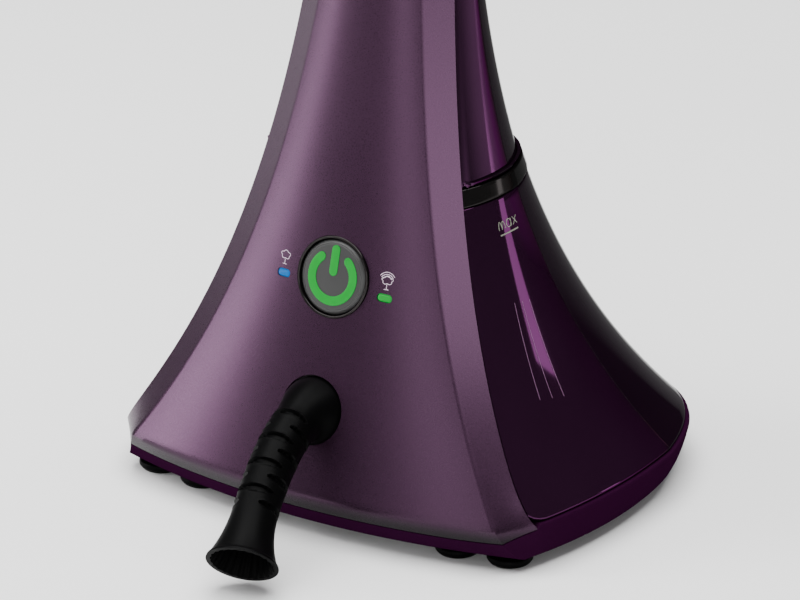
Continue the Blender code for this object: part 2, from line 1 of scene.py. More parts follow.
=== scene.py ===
# %% [markdown]
# # Garment steamer: the visible surfaces
# The solids that move and fit come from the packed frame. This script dresses them: it works out the
# fine surfaces with numpy, gives every piece a finish made of shader nodes, and sets up floor, light
# and camera. Lengths are in metres, +Z is up and the machine faces -Y.

# %% Load the frame
import math

import bpy
import numpy as np
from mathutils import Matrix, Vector


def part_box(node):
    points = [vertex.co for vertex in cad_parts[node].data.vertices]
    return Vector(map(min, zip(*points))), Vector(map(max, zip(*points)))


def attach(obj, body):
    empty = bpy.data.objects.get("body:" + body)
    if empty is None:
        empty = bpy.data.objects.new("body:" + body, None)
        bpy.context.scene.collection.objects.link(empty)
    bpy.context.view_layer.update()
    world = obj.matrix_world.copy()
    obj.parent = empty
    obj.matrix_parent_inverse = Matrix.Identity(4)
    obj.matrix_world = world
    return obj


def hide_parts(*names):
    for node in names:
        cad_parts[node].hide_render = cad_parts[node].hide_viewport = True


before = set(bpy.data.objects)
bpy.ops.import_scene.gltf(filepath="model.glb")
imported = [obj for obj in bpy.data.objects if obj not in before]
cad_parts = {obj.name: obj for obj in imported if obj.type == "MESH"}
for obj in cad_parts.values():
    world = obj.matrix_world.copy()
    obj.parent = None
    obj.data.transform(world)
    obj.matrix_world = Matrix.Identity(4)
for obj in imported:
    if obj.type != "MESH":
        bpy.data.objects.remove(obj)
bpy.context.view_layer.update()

# %% [markdown]
# ## Sizes
# The body is one flared horn, so a few falling exponentials give its width and depth at each height.
# What the frame already knows, such as the lid's band, the neck and the pole, is read from the nodes' boxes.

# %% Driving sizes
KNEE_Z = 0.030  # widest level
SKIRT_Z = 0.009  # lower edge of the base skirt
FRONT_Z = 0.0205  # lower edge of the front shell
BAND_LOW, BAND_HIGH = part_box("tank_lid")[0][2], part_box("tank_lid")[1][2]
NECK_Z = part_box("front_shell")[1][2]
BUTTON_Z, BUTTON_HOLE_R = 0.161, 0.0249
LAMP_X, LAMP_Z = 0.0375, 0.155
BOOT_Z, BOOT_HOLE_R = 0.080, 0.0220
WALL = 0.0022
SEAM = 0.0006  # shadow gap between neighbouring mouldings
POLE_Y = 0.5 * (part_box("pole_tube")[0][1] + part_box("pole_tube")[1][1])


def box_of(name):
    """Lower corner, upper corner and middle of a node's box."""
    low, high = (np.array(corner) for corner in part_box(name))
    return low, high, 0.5 * (low + high)


print("band", BAND_LOW, BAND_HIGH, "neck", NECK_Z, "pole at y", round(POLE_Y, 4))

# %% [markdown]
# ## Turning arrays into meshes
# Every new piece is a grid of points, row by row. One helper makes the quads of such a grid and one
# puts points and faces into a mesh that rides on its body. Working in whole arrays keeps each shape
# a formula that can be read and changed.

# %% Mesh helpers
def grid_faces(rows, columns, wrap_rows=False, wrap_columns=False, first=0):
    """Quads of a grid: corner (i, j), then (i, j+1), (i+1, j+1) and (i+1, j), counted from first."""
    i, j = np.indices((rows if wrap_rows else rows - 1, columns if wrap_columns else columns - 1))
    down, across = (i + 1) % rows, (j + 1) % columns
    quads = np.stack([i * columns + j, i * columns + across, down * columns + across, down * columns + j], -1)
    return quads.reshape(-1, 4) + first


def piece(name, points, faces, body, finish, replaces=(), angle=35):
    """One object at the origin from an array of points and lists of faces, smooth below the given angle."""
    mesh = bpy.data.meshes.new(name)
    mesh.from_pydata(np.asarray(points).reshape(-1, 3).tolist(), [], [f.tolist() for f in faces])
    mesh.validate()
    mesh.materials.append(finish.material)
    thing = bpy.data.objects.new(name, mesh)
    bpy.context.scene.collection.objects.link(thing)
    mesh.shade_smooth()
    mesh.set_sharp_from_angle(angle=math.radians(angle))
    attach(thing, body)
    if replaces:
        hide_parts(*replaces)
    return thing


def normals_of(points):
    """Unit normals of a grid: the cross product of the differences across its rows and up its columns."""
    normal = np.cross(np.gradient(points, axis=1), np.gradient(points, axis=0))
    return normal / np.maximum(np.linalg.norm(normal, axis=2, keepdims=True), 1e-12)


def walled(outer, inner, wrap_columns=False):
    """Points and quads of a closed wall: an outer grid, an inner grid turned round, and the rims between."""
    rows, columns = outer.shape[:2]
    half = rows * columns
    faces = [grid_faces(rows, columns, False, wrap_columns)]
    faces.append(grid_faces(rows, columns, False, wrap_columns, half)[:, ::-1])
    row = np.arange(columns)
    ends = [(row, True), (row + (rows - 1) * columns, False)]
    if not wrap_columns:
        column = np.arange(rows) * columns
        ends += [(column, False), (column + columns - 1, True)]
    for edge, flip in ends:
        a, b = edge, np.roll(edge, -1)
        if not (wrap_columns and len(edge) == columns):
            a, b = a[:-1], b[:-1]
        quad = np.stack([b, a, a + half, b + half], -1)
        faces.append(quad if flip else quad[:, ::-1])
    return np.vstack([outer.reshape(-1, 3), inner.reshape(-1, 3)]), np.vstack(faces)


def shell(name, outer, inner, body, finish, replaces, wrap_columns=False, angle=35):
    """One closed piece from an outer and an inner grid."""
    points, faces = walled(outer, inner, wrap_columns)
    return piece(name, points, list(faces), body, finish, replaces, angle)


def basis(axis):
    """Three unit vectors as rows: one near +X, one across, and the axis itself last."""
    axis = np.asarray(axis, float) / np.linalg.norm(axis)
    first = np.array([1.0, 0.0, 0.0]) - axis * axis[0]
    first = first / np.linalg.norm(first)
    return np.array([first, np.cross(axis, first), axis])


print("a 3 by 4 grid has", len(grid_faces(3, 4)), "quads")

# %% [markdown]
# A turned piece is a profile of radius and height, spun about an axis. Corners of the profile are
# rounded first, because a real moulding has no perfectly sharp edge and a small radius catches light.

# %% Turned shapes
def rounded(profile, radius):
    """Replace each inner corner by a quadratic arc that starts and ends radius away from it."""
    points = np.asarray(profile, float)
    out = [points[0]]
    for before, corner, after in zip(points, points[1:], points[2:]):
        cut = []
        for other in (before, after):
            reach = np.linalg.norm(other - corner)
            cut.append(corner + (other - corner) * min(radius, 0.45 * reach) / max(reach, 1e-9))
        for t in np.linspace(0, 1, 5):
            out.append((1 - t) ** 2 * cut[0] + 2 * t * (1 - t) * corner + t**2 * cut[1])
    out.append(points[-1])
    return np.array(out)


def turned(name, profile, place, axis, body, finish, replaces=(), steps=96, closed=False):
    """Spin (radius, height) points about an axis: place + radius*(cos a, sin a) + height*axis.

    The profile runs from the bottom up along the outside. A radius of zero ends in one pole vertex.
    """
    profile = np.asarray(profile, float)
    if closed:
        profile = profile[:-1]
    turn = np.linspace(0, 2 * math.pi, steps, endpoint=False)
    frame3 = basis(axis)
    keep = profile[profile[:, 0] > 1e-7]
    around = np.cos(turn)[:, None] * frame3[0] + np.sin(turn)[:, None] * frame3[1]
    points = np.asarray(place) + keep[:, 0, None, None] * around[None] + keep[:, 1, None, None] * frame3[2]
    points = points.reshape(-1, 3)
    polygons = list(grid_faces(len(keep), steps, closed, True))
    ring = np.arange(steps)
    for end, at in ((0, 0), (-1, len(keep) - 1)):
        if not closed and profile[end, 0] <= 1e-7:
            pole = len(points)
            points = np.vstack([points, np.asarray(place) + profile[end, 1] * frame3[2]])
            a, b = ring + at * steps, np.roll(ring, -1) + at * steps
            fan = np.stack([np.full(steps, pole), b, a] if end == 0 else [np.full(steps, pole), a, b], -1)
            polygons += list(fan)
    return piece(name, points, polygons, body, finish, replaces)


print("a square corner becomes", len(rounded([(0, 0), (1, 0), (1, 1)], 0.1)), "points")

# %% [markdown]
# A swept piece carries an oval along a path, as a drawn tube or a moulded rib would be made.

# %% Swept shapes
def path_frames(path, hint):
    """Tangent, side and up arrays along a path: side is hint made square to the tangent."""
    tangent = np.gradient(path, axis=0)
    tangent /= np.linalg.norm(tangent, axis=1, keepdims=True)
    side = np.asarray(hint, float) - tangent * (tangent @ np.asarray(hint, float))[:, None]
    side /= np.linalg.norm(side, axis=1, keepdims=True)
    return tangent, side, np.cross(tangent, side)


def swept(name, path, width, height, body, finish, replaces, sides=32, hint=(1, 0, 0), power=1, round_ends=6):
    """Carry an oval along a path: centre + width*cos(a)*side + height*sin(a)*up, with domed ends.

    A power under 1 squares the oval. Each end shrinks along a quarter circle over one height.
    """
    path = np.asarray(path, float)
    width, height = (np.broadcast_to(np.asarray(v, float), len(path)) for v in (width, height))
    tangent, side, up = path_frames(path, hint)
    if round_ends:
        lean = np.linspace(0, math.pi / 2, round_ends + 1)[:-1] + 0.12
        grow = np.sin(lean)
        low = path[0] - tangent[0] * (height[0] * np.cos(lean))[:, None]
        high = (path[-1] + tangent[-1] * (height[-1] * np.cos(lean))[:, None])[::-1]
        ones = np.ones((round_ends, 1))
        path = np.vstack([low, path, high])
        width = np.concatenate([width[0] * grow, width, (width[-1] * grow)[::-1]])
        height = np.concatenate([height[0] * grow, height, (height[-1] * grow)[::-1]])
        side = np.vstack([ones * side[0], side, ones * side[-1]])
        up = np.vstack([ones * up[0], up, ones * up[-1]])
    angle = np.linspace(0, 2 * math.pi, sides, endpoint=False)
    cos, sin = np.cos(angle), np.sin(angle)
    cos, sin = np.sign(cos) * abs(cos) ** power, np.sign(sin) * abs(sin) ** power
    points = path[:, None] + (width[:, None] * cos)[..., None] * side[:, None]
    points = points + (height[:, None] * sin)[..., None] * up[:, None]
    faces = list(grid_faces(len(path), sides, False, True))
    faces += [np.arange(sides)[::-1], np.arange(sides) + (len(path) - 1) * sides]
    return piece(name, points, faces, body, finish, replaces)


def smooth_path(points, count):
    """Uniform Catmull-Rom curve through a few given points."""
    p = np.asarray(points, float)
    p = np.vstack([2 * p[0] - p[1], p, 2 * p[-1] - p[-2]])
    u = np.linspace(0, len(p) - 3 - 1e-9, count)
    k = u.astype(int)
    t = (u - k)[:, None]
    a, b, c, d = p[k], p[k + 1], p[k + 2], p[k + 3]
    return 0.5 * (2 * b + (c - a) * t + (2 * a - 5 * b + 4 * c - d) * t**2 + (3 * b - a - 3 * c + d) * t**3)


print("a path through 3 points is", len(smooth_path([(0, 0, 0), (1, 0, 0), (1, 1, 0)], 9)), "points")

# %% [markdown]
# Small blocks such as levers and lamps are boxes with rounded edges, as a mould leaves them.

# %% Rounded boxes
def rounded_box(name, size, centre, edge, body, finish, replaces=(), axes=np.eye(3), steps=3):
    """Box with rounded edges: each surface point of a cube is drawn to a ball of radius edge around the
    nearest point of the smaller box inside."""
    half = np.asarray(size, float) / 2
    core = half - edge
    points, faces = [], []
    for axis in range(3):
        for sign in (-1, 1):
            u, v = [k for k in range(3) if k != axis]
            lines = []
            for k in (u, v):
                step = half[k] - edge * (1 - np.tan(np.linspace(0, math.pi / 4, steps + 1)))
                lines.append(np.concatenate([-step[::-1], step]))
            a, b = np.meshgrid(*lines, indexing="ij")
            flat = np.empty((*a.shape, 3))
            flat[..., axis], flat[..., u], flat[..., v] = sign * half[axis], a, b
            inner = np.clip(flat, -core, core)
            away = flat - inner
            flat = inner + edge * away / np.linalg.norm(away, axis=-1, keepdims=True)
            quads = grid_faces(*a.shape, first=sum(len(p) for p in points))
            outward = (sign > 0) == (axis != 1)
            faces.append(quads[:, ::-1] if outward else quads)
            points.append(flat.reshape(-1, 3))
    joined = np.vstack(points)
    key, index = np.unique(np.round(joined, 7), axis=0, return_inverse=True)
    quads = index.reshape(-1)[np.vstack(faces)]
    return piece(name, np.asarray(centre) + key @ np.asarray(axes), list(quads), body, finish, replaces)


print("shape helpers: turned, swept, rounded_box")

# %% [markdown]
# ## Finishes
# Each finish is one Principled shader whose colour, roughness and normal come from small patterns.
# The class below lets a pattern be written as arithmetic: `0.4 + 0.1 * grain` adds the Math nodes.

# %% A socket that can be calculated with
class Value:
    """A shader socket on which +, * and a - after it add Math nodes."""

    def __init__(self, finish, socket):
        self.finish = finish
        self.socket = socket

    def math(self, operation, first, second):
        return self.finish.node("ShaderNodeMath", {"operation": operation}, {0: first, 1: second})

    def __add__(self, other):
        return self.math("ADD", self, other)

    __radd__ = __add__

    def __mul__(self, other):
        return self.math("MULTIPLY", self, other)

    __rmul__ = __mul__

    def __sub__(self, other):
        return self.math("SUBTRACT", self, other)

    def step(self, low, high):
        """0 below low, 1 above high, and a smooth ramp between."""
        return self.finish.node(
            "ShaderNodeMapRange", {"interpolation_type": "SMOOTHSTEP"}, {"Value": self, 1: low, 2: high}
        )


print("reflected operators", [name for name in vars(Value) if name.startswith("__r")])

# %% [markdown]
# A finish holds its material. One method adds any node, and the others name the few patterns used.

# %% A finish and its patterns
class Finish:
    """A material with one Principled shader, and a method that adds any node to it."""

    def __init__(self, name, slot, **plain):
        self.material = bpy.data.materials.new(name)
        self.material.use_nodes = True
        self.slot = slot
        self.tree = self.material.node_tree
        self.shader = self.tree.nodes["Principled BSDF"]
        for socket, value in plain.items():
            self.shader.inputs[socket.replace("_", " ").title().replace("Ior", "IOR")].default_value = value

    def node(self, kind, settings=None, inputs=None, output=0):
        """Add a node: its settings first, then its sockets, each a Value or a constant."""
        made = self.tree.nodes.new(kind)
        for key, value in (settings or {}).items():
            setattr(made, key, value)
        for key, value in (inputs or {}).items():
            if isinstance(value, Value):
                self.tree.links.new(value.socket, made.inputs[key])
            else:
                made.inputs[key].default_value = value
        return Value(self, made.outputs[output])

    def feed(self, **sockets):
        """Link values to the shader's sockets, by name with _ for a space."""
        for name, value in sockets.items():
            self.tree.links.new(value.socket, self.shader.inputs[name.replace("_", " ")])

    def place(self):
        """Object coordinates, in metres, because every piece sits at the origin."""
        return self.node("ShaderNodeTexCoord", output=3)

    def noise(self, size, detail=2.0, stretch=(1, 1, 1)):
        """Noise whose blobs are about size metres, pulled out along an axis by stretch."""
        spread = self.node("ShaderNodeMapping", inputs={0: self.place(), 3: tuple(1 / s for s in stretch)})
        return self.node("ShaderNodeTexNoise", inputs={"Vector": spread, "Scale": 1 / size, "Detail": detail})

    def mix(self, share, dark, light):
        """A colour between two, by a 0 to 1 value."""
        return self.node(
            "ShaderNodeMix", {"data_type": "RGBA"}, {0: share, 6: (*dark, 1), 7: (*light, 1)}, output=2
        )

    def bump(self, height, strength, distance):
        """A normal tilted by a 0 to 1 height that stands for distance metres."""
        sockets = {"Height": height, "Strength": strength, "Distance": distance}
        return self.node("ShaderNodeBump", inputs=sockets)


def shade(colour, factor):
    """A colour made lighter or darker, held at 1."""
    return tuple(min(1.0, c * factor) for c in colour)


def moulding(name, slot, colour, rough, spread=0.12, grain=0.0006, relief=0.00002, swing=0.05, **plain):
    """Moulded or lacquered surface: slow colour drift, fine grain in roughness, and a shallow relief."""
    made = Finish(name, slot, **plain)
    drift = made.noise(0.03)
    fine = made.noise(grain, 3.0)
    dark, light = shade(colour, 1 - spread), shade(colour, 1 + spread)
    made.feed(Base_Color=made.mix(0.5 * drift + 0.5 * fine, dark, light))
    made.feed(Roughness=rough + swing * (fine - 0.5) + 0.5 * swing * (drift - 0.5))
    made.feed(Normal=made.bump(fine, 0.35, relief))
    return made


print("patterns", [name for name in vars(Finish) if not name.startswith("_")])

# %% [markdown]
# The front is a satin metallic lacquer: fine flakes in a plum base under a thin clear coat. The rear
# cover, the tank and the black trim are gloss mouldings whose reflections take the piece's own dark
# colour, with a black edge tint, so that a pale room doesn't bleach their outline. Matt black pieces
# differ by their grain, and rubber has a coarser one.

# %% The finishes of this machine
GLOSS = {"metallic": 0.9, "specular_ior_level": 0.09, "specular_tint": (0.0, 0.0, 0.0, 1.0)}


def satin_plum():
    """Metallic lacquer: flakes are small cells, each a little lighter or darker, and change the sheen."""
    made = Finish("plum_satin_lacquer", "plum_satin", metallic=0.80, coat_weight=0.04, coat_roughness=0.2)
    flake = made.node("ShaderNodeTexVoronoi", inputs={"Vector": made.place(), "Scale": 2600.0}, output=1)
    spark = made.node("ShaderNodeSeparateColor", inputs={0: flake})
    drift = made.noise(0.08)
    split = made.node("ShaderNodeSeparateXYZ", inputs={0: made.place()}, output=2)
    # Painted shade: below 36 mm the lacquer's colour is darkened towards the lower edge, down to 8 % at 21.5
    # mm, standing in for the shade where the face turns in.
    painted_low_shade = 0.08 + 0.92 * split.step(0.0215, 0.036)
    made.feed(Base_Color=made.mix(
        painted_low_shade * (0.75 + 0.18 * spark + 0.07 * drift), (0.0, 0.0, 0.0), (0.050, 0.0190, 0.0455)
    ))
    made.feed(Roughness=0.29 + 0.05 * (spark - 0.5) + 0.03 * (drift - 0.5))
    made.feed(Normal=made.bump(spark, 0.02, 0.00001))
    return made


def tinted_tank():
    """Dark plum plastic with faint flow marks, drawn out upwards as they are in a tall moulding."""
    made = Finish("tank_tinted_plastic", "tank_tint", **GLOSS)
    drift = made.noise(0.05, 1.0, (1, 1, 3))
    made.feed(Base_Color=made.mix(drift, (0.0430, 0.0125, 0.0390), (0.0590, 0.0180, 0.0540)))
    made.feed(Roughness=0.045 + 0.03 * (drift - 0.5))
    made.feed(Normal=made.bump(drift, 0.04, 0.0004))
    return made


PLUM = satin_plum()
PLUM_GLOSS = moulding("plum_gloss_moulding", "plum_gloss", (0.0530, 0.0200, 0.0490), 0.07,
                      relief=0.000004, swing=0.03, **GLOSS)
SKIRT = moulding("plum_skirt_moulding", "plum_satin", (0.0165, 0.0020, 0.0140), 0.42, relief=0.00001,
                 specular_ior_level=0.0)
TANK = tinted_tank()
BLACK_GLOSS = moulding("black_gloss_moulding", "black_gloss", (0.024, 0.022, 0.022), 0.10,
                       relief=0.000004, **GLOSS)
BLACK = moulding("black_matt_moulding", "black_matt", (0.018, 0.018, 0.018), 0.50, grain=0.0004)
CAP_GREY = moulding("button_cap_moulding", "black_matt", (0.016, 0.016, 0.016), 0.42, grain=0.0004)
RUBBER = moulding("black_rubber", "rubber", (0.0011, 0.0011, 0.0012), 0.44, 0.2, 0.0005, 0.00004,
                  0.12, specular_ior_level=0.035)
STEEL = moulding("bright_steel", "steel", (0.60, 0.60, 0.61), 0.26, 0.06, 0.0003, metallic=1.0)
ALUMINIUM = moulding("satin_aluminium", "aluminium", (0.68, 0.68, 0.69), 0.30, 0.05, 0.0004, metallic=1.0)
CAST = moulding("cast_aluminium", "cast", (0.46, 0.46, 0.46), 0.52, 0.15, 0.0012, 0.0001, metallic=1.0)
GREY = moulding("grey_moulding", "grey_plastic", (0.17, 0.17, 0.18), 0.48)
BOARD = moulding("circuit_board_lacquer", "board", (0.015, 0.14, 0.05), 0.35)
SILICONE = moulding("silicone_rubber", "silicone", (0.66, 0.64, 0.58), 0.50)
print("finishes", len(bpy.data.materials))

# %% [markdown]
# ## Light from the lamps
# A light guide glows almost evenly, a little clouded by its frosted plastic. The glow is Emission
# Color with a fixed strength, so that the pattern bakes into the exported model.

# %% Lit finishes
def lit(name, slot, colour, strength):
    """Light guide: a pale base and a glow of the given colour, both slightly clouded."""
    made = Finish(name, slot, roughness=0.35, emission_strength=strength, specular_ior_level=0.1)
    cloud = made.noise(0.004)
    made.feed(Base_Color=made.mix(cloud, shade(colour, 0.10), shade(colour, 0.16)))
    made.feed(Emission_Color=made.mix(cloud, shade(colour, 0.93), shade(colour, 1.04)))
    return made


GREEN = lit("green_light_guide", "green_light", (0.0, 0.46, 0.050), 0.80)
BLUE = lit("blue_light_guide", "blue_light", (0.0, 0.18, 0.60), 0.85)
PRINT_WHITE = moulding("white_print", "plum_satin", (0.62, 0.50, 0.60), 0.5)
PRINT_GREY = moulding("grey_print", "tank_tint", (0.16, 0.17, 0.13), 0.5)
PRINT_PLUM = moulding("plum_print", "tank_tint", (0.16, 0.066, 0.145), 0.5)
print("lit", GREEN.material.name, BLUE.material.name)

# %% [markdown]
# ## The body's outline
# At one height the right half of the outline is four stretches: the front face, a chamfered strip,
# the side and the rear. Each height's corner points follow from exponentials of the height. Below
# the knee all of them are drawn towards a smaller foot outline, which makes the base's undercut.

# %% Outline at every height
def fade(z, length):
    """Falling exponential, 1 at the knee."""
    return np.exp(-(np.asarray(z, float) - KNEE_Z) / length)


def stack(*values):
    """Put arrays together as the last axis of one array."""
    return np.stack(np.broadcast_arrays(*values), -1)


def levels(z):
    """Corner points and bulges of the outline at an array of heights.

    half width = 35 mm + 119 mm * fade; the side's length falls almost evenly and never below nought.
    """
    z = np.asarray(z, float)
    knee = np.maximum(z, KNEE_Z)
    near = fade(knee, 0.169)
    half = 0.0346 + 0.1194 * near
    edge_y = 0.0662 - 0.1312 * fade(knee, 0.409)
    flare = 0.010 * fade(knee, 0.010)
    side = -0.035 + 0.1867 * fade(knee, 0.225)
    side = 0.5 * (side + np.hypot(side, 0.020))
    strip = stack(half, edge_y + flare)
    front = stack(half - 0.0175, edge_y - 0.0107)
    rear = stack(half + 0.0055 + 0.0059 * near, edge_y + side)
    rear_y = rear[..., 1] + 0.0103 + 0.1002 * fade(knee, 0.2265)
    body = [front, strip, rear, 0.004 + 0.015 * near, 0.0015 + 0.0053 * near, rear_y]
    foot = [(0.1497, -0.0600), (0.1520, -0.0489), (0.1574, 0.0852), 0.024, 0.008, 0.183]
    drop = np.clip((KNEE_Z - z) / (KNEE_Z - SKIRT_Z), 0, 1)
    share = 0.5 * (1 - np.sqrt(1 - drop**2) + drop)
    out = []
    for here, there in zip(body, foot):
        s = share[..., None] if here.ndim > z.ndim else share
        out.append(here + (np.asarray(there) - here) * s)
    return out


print("half width at knee and neck", [round(float(levels(z)[1][0]), 4) for z in (KNEE_Z, NECK_Z)])

# %% [markdown]
# Three surfaces follow from those points: a shallow bulge at the front, another at the side, and a
# rear rounded by a Bezier. A mark or a button finds its place and its facing from the same formulas.

# %% Points on the outline
def front_point(t, z):
    """Point of the front face: t from -1 to 1 across, the middle bulging forward along a parabola."""
    front, _, _, sag, _, _ = levels(z)
    return stack(front[..., 0] * t, front[..., 1] - sag * (1 - t**2), z)


def side_point(t, z):
    """Point of the right side: t from 0 at the strip to 1 at the rear edge, bulging by a parabola."""
    _, strip, rear, _, bulge, _ = levels(z)
    x = strip[..., 0] + (rear[..., 0] - strip[..., 0]) * t + 4 * bulge * t * (1 - t)
    return stack(x, strip[..., 1] + (rear[..., 1] - strip[..., 1]) * t, z)


def rear_point(t, z):
    """Point of the right rear: a cubic Bezier from the rear edge (t = 0) to the middle (t = 1)."""
    _, _, edge, _, _, rear_y = levels(z)
    depth = rear_y - edge[..., 1]
    lean = math.radians(14)
    x = [edge[..., 0], edge[..., 0] - math.sin(lean) * depth * 0.86, edge[..., 0] * 0.56, 0 * depth]
    y = [edge[..., 1], edge[..., 1] + math.cos(lean) * depth * 0.86, rear_y, rear_y]
    weight = [(1 - t) ** 3, 3 * (1 - t) ** 2 * t, 3 * (1 - t) * t**2, t**3]
    return stack(sum(w * a for w, a in zip(weight, x)), sum(w * a for w, a in zip(weight, y)), z)


def facing(at, u, v):
    """Place and outward normal of a surface at(u, v), by differences of half a millimetre each way."""
    u, v = np.broadcast_arrays(np.asarray(u, float), np.asarray(v, float))
    e = 0.0005
    normal = np.cross(at(u + e, v) - at(u - e, v), at(u, v + e) - at(u, v - e))
    return at(u, v), normal / np.linalg.norm(normal, axis=-1, keepdims=True)


def face_at(x, z):
    """Point of the front face by its distance from the middle and its height."""
    return front_point(x / levels(z)[0][..., 0], z)


def side_at(y, z):
    """Point of the right side by its depth and its height."""
    _, strip, rear, *_ = levels(z)
    return side_point(np.clip((y - strip[..., 1]) / (rear[..., 1] - strip[..., 1]), 0, 1), z)


button_place, button_normal = facing(face_at, 0.0, BUTTON_Z)
boot_place, boot_normal = facing(face_at, 0.0, BOOT_Z)
print("button at", np.round(button_place, 4), "facing", np.round(button_normal, 3))

# %% [markdown]
# ## Front shell
# One moulding makes the front face and both strips, so it is one grid: columns run from the left
# strip across the face to the right strip, closer together near the two creases. Rows run up from
# the lower edge. A second grid, moved in along the normals, gives the wall. The holes are cut last.

# %% Front shell surface
FACE_COLUMNS, STRIP_COLUMNS, FRONT_ROWS = 81, 7, 110


def front_columns():
    """Signed column numbers: -1..1 over the face, up to 2 beyond it over a strip; creases are crowded."""
    face = np.sin(np.linspace(-1, 1, FACE_COLUMNS) * math.pi / 2)
    face = 0.35 * face + 0.65 * np.linspace(-1, 1, FACE_COLUMNS)
    strip = 1 + np.linspace(0, 1, STRIP_COLUMNS + 1)[1:] ** 1.2
    return np.concatenate([-strip[::-1], face, strip])


def front_lower(c):
    """Lower edge: level under the face, rising under a strip to its outer corner."""
    over = np.clip(abs(c) - 1, 0, 1)
    return FRONT_Z + 0.0012 * np.clip(abs(c), 0, 1) ** 8 + 0.0072 * over


def front_surface(c, z):
    """Signed column number to a point: the face between -1 and 1, then straight on to the strip's edge."""
    strip = levels(z)[1]
    face = front_point(np.clip(c, -1, 1), z)
    over = np.clip(abs(c) - 1, 0, 1)[..., None]
    edge = stack(np.sign(c) * strip[..., 0], strip[..., 1], z)
    return face + (edge - face) * over


columns = front_columns()
climb = np.linspace(0, 1, FRONT_ROWS) ** 1.35
lower = front_lower(columns)
heights = lower[None] + (NECK_Z - lower[None]) * climb[:, None]
outer = front_surface(np.broadcast_to(columns, heights.shape), heights)
inner = outer - normals_of(outer) * WALL
front_shell = shell("front_shell_skin", outer, inner, "base", PLUM, ["front_shell"])
print("front shell", 2 * heights.size, "points, width", np.round(np.ptp(outer[..., 0]), 4))

# %% [markdown]
# Cutters for the button, the boot and the two lamps are closed solids pushed through the wall with
# an exact Boolean. The result is applied, so that the kept mesh is plain, and the cutters go.

# %% Cut the holes
def cut(thing, cutters, sharpen=False):
    """Take closed cutters out of a piece, keep the result as its plain mesh, and drop the cutters."""
    for cutter in cutters:
        tool = thing.modifiers.new("hole", "BOOLEAN")
        tool.operation = "DIFFERENCE"
        tool.object = cutter
    kept = bpy.data.meshes.new_from_object(thing.evaluated_get(bpy.context.evaluated_depsgraph_get()))
    thing.modifiers.clear()
    thing.data = kept
    for cutter in cutters:
        bpy.data.objects.remove(cutter)
    if sharpen:
        kept.set_sharp_from_angle(angle=math.radians(35))


def drum(radius, place, axis, length, steps=96):
    """Closed cylinder used as a cutter."""
    profile = [(0, -length), (radius, -length), (radius, length), (0, length)]
    return turned("cutter", profile, place, axis, "base", PLUM, steps=steps)


cutters = [
    drum(BUTTON_HOLE_R, button_place, button_normal, 0.012), drum(BOOT_HOLE_R, boot_place, boot_normal, 0.012)
]
for side in (-1, 1):
    place, normal = facing(face_at, side * LAMP_X, LAMP_Z)
    lamp_hole = (0.0102, 0.0052, 0.016)
    cutters.append(rounded_box("cutter", lamp_hole, place, 0.0024, "base", PLUM, axes=basis(normal)))
cut(front_shell, cutters, sharpen=True)
print("front shell after cutting", len(front_shell.data.polygons), "faces")

# %% [markdown]
# ## Rear cover, tank and lid
# Behind the strips the three mouldings share one outline: the cover above, the black lid as a band,
# and the tank below. Each is a grid whose first and last rows curl inwards, as a moulded edge does.

# %% Grids with rolled edges
def rear_surface(c, z):
    """Signed column number: 0 the rear middle, 1 the rear edge, 2 the strip's edge; right is positive."""
    away = abs(c)
    rear = rear_point(np.clip(1 - away, 0, 1), z)
    side = side_point(np.clip(2 - away, 0, 1), z)
    place = np.where((away > 1)[..., None], side, rear)
    place[..., 0] *= np.where(np.asarray(c) < 0, -1, 1)
    return place


def rear_columns(sides, rears):
    """Column numbers from the right strip round the rear to the left strip, crowded at the rear edge."""
    side = 2 - np.linspace(0, 1, sides)
    corner = 1 - np.linspace(0, 1, rears)[1:] ** 1.3
    half = np.concatenate([side, corner])
    return np.concatenate([half, -half[::-1][1:]])


def rolled(surface, columns, low, high, count, radius, shift=0.0):
    """Grid of a surface from low to high, both edges rolled in on quarter circles.

    Row heights z = low + r*(1 - cos a), inset r*(1 - sin a), and the same upside down at the top.
    low may be an array with one height for each column.
    """
    a = np.linspace(0, math.pi / 2, 6)
    low = np.broadcast_to(np.asarray(low, float), columns.shape)
    curl, inset = radius * (1 - np.cos(a)), radius * (1 - np.sin(a))
    middle = np.linspace(0, 1, count)[1:-1, None]
    between = low + radius + (high - low - 2 * radius) * middle
    z = np.vstack([low + curl[:, None], between, high - curl[::-1, None] + 0 * low])
    inset = np.concatenate([inset, np.zeros(count - 2), inset[::-1]])[:, None, None]
    points = surface(np.broadcast_to(columns, z.shape), z)
    return points - normals_of(points) * (inset - shift)


print("columns round the rear", len(rear_columns(28, 60)))

# %% [markdown]
# The cover sits a little inside the lid's band at its lower edge, fading out over 50 mm. Its rear has
# a slot for the tank's latch.

# %% Rear cover
around = rear_columns(28, 60)
around = np.sign(around) * np.minimum(abs(around), 1.99)
low = BAND_HIGH + 0.0010
cover = rolled(rear_surface, around, low, NECK_Z, 90, 0.0010)
step = 0.0017 * np.exp(-(cover[..., 2:3] - low) / 0.05)
side_only = np.clip((2 - abs(around)) / 0.15, 0, 1)[None, :, None]
cover = cover - normals_of(cover) * (step * side_only + 0.0003)
rear_cover = shell(
    "rear_cover_skin", cover, cover - normals_of(cover) * WALL, "base", PLUM_GLOSS, ["rear_cover"]
)
latch_low, latch_high, latch_middle = box_of("tank_latch")
cut(rear_cover, [rounded_box("cutter", (0.0304, 0.04, 0.0144), latch_middle, 0.002, "base", PLUM)])
print("rear cover", len(rear_cover.data.polygons), "faces")

# %% [markdown]
# The tank straddles the pump and boiler, so from above it is a U. Its outer wall is the body's own
# outline; its inner wall is a plain bay. The two arms end in a rounded lower corner at the front,
# where the strip flares away from them.

# %% Tank and lid
TANK_LOW, TANK_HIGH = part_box("tank")[0][2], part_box("tank")[1][2]


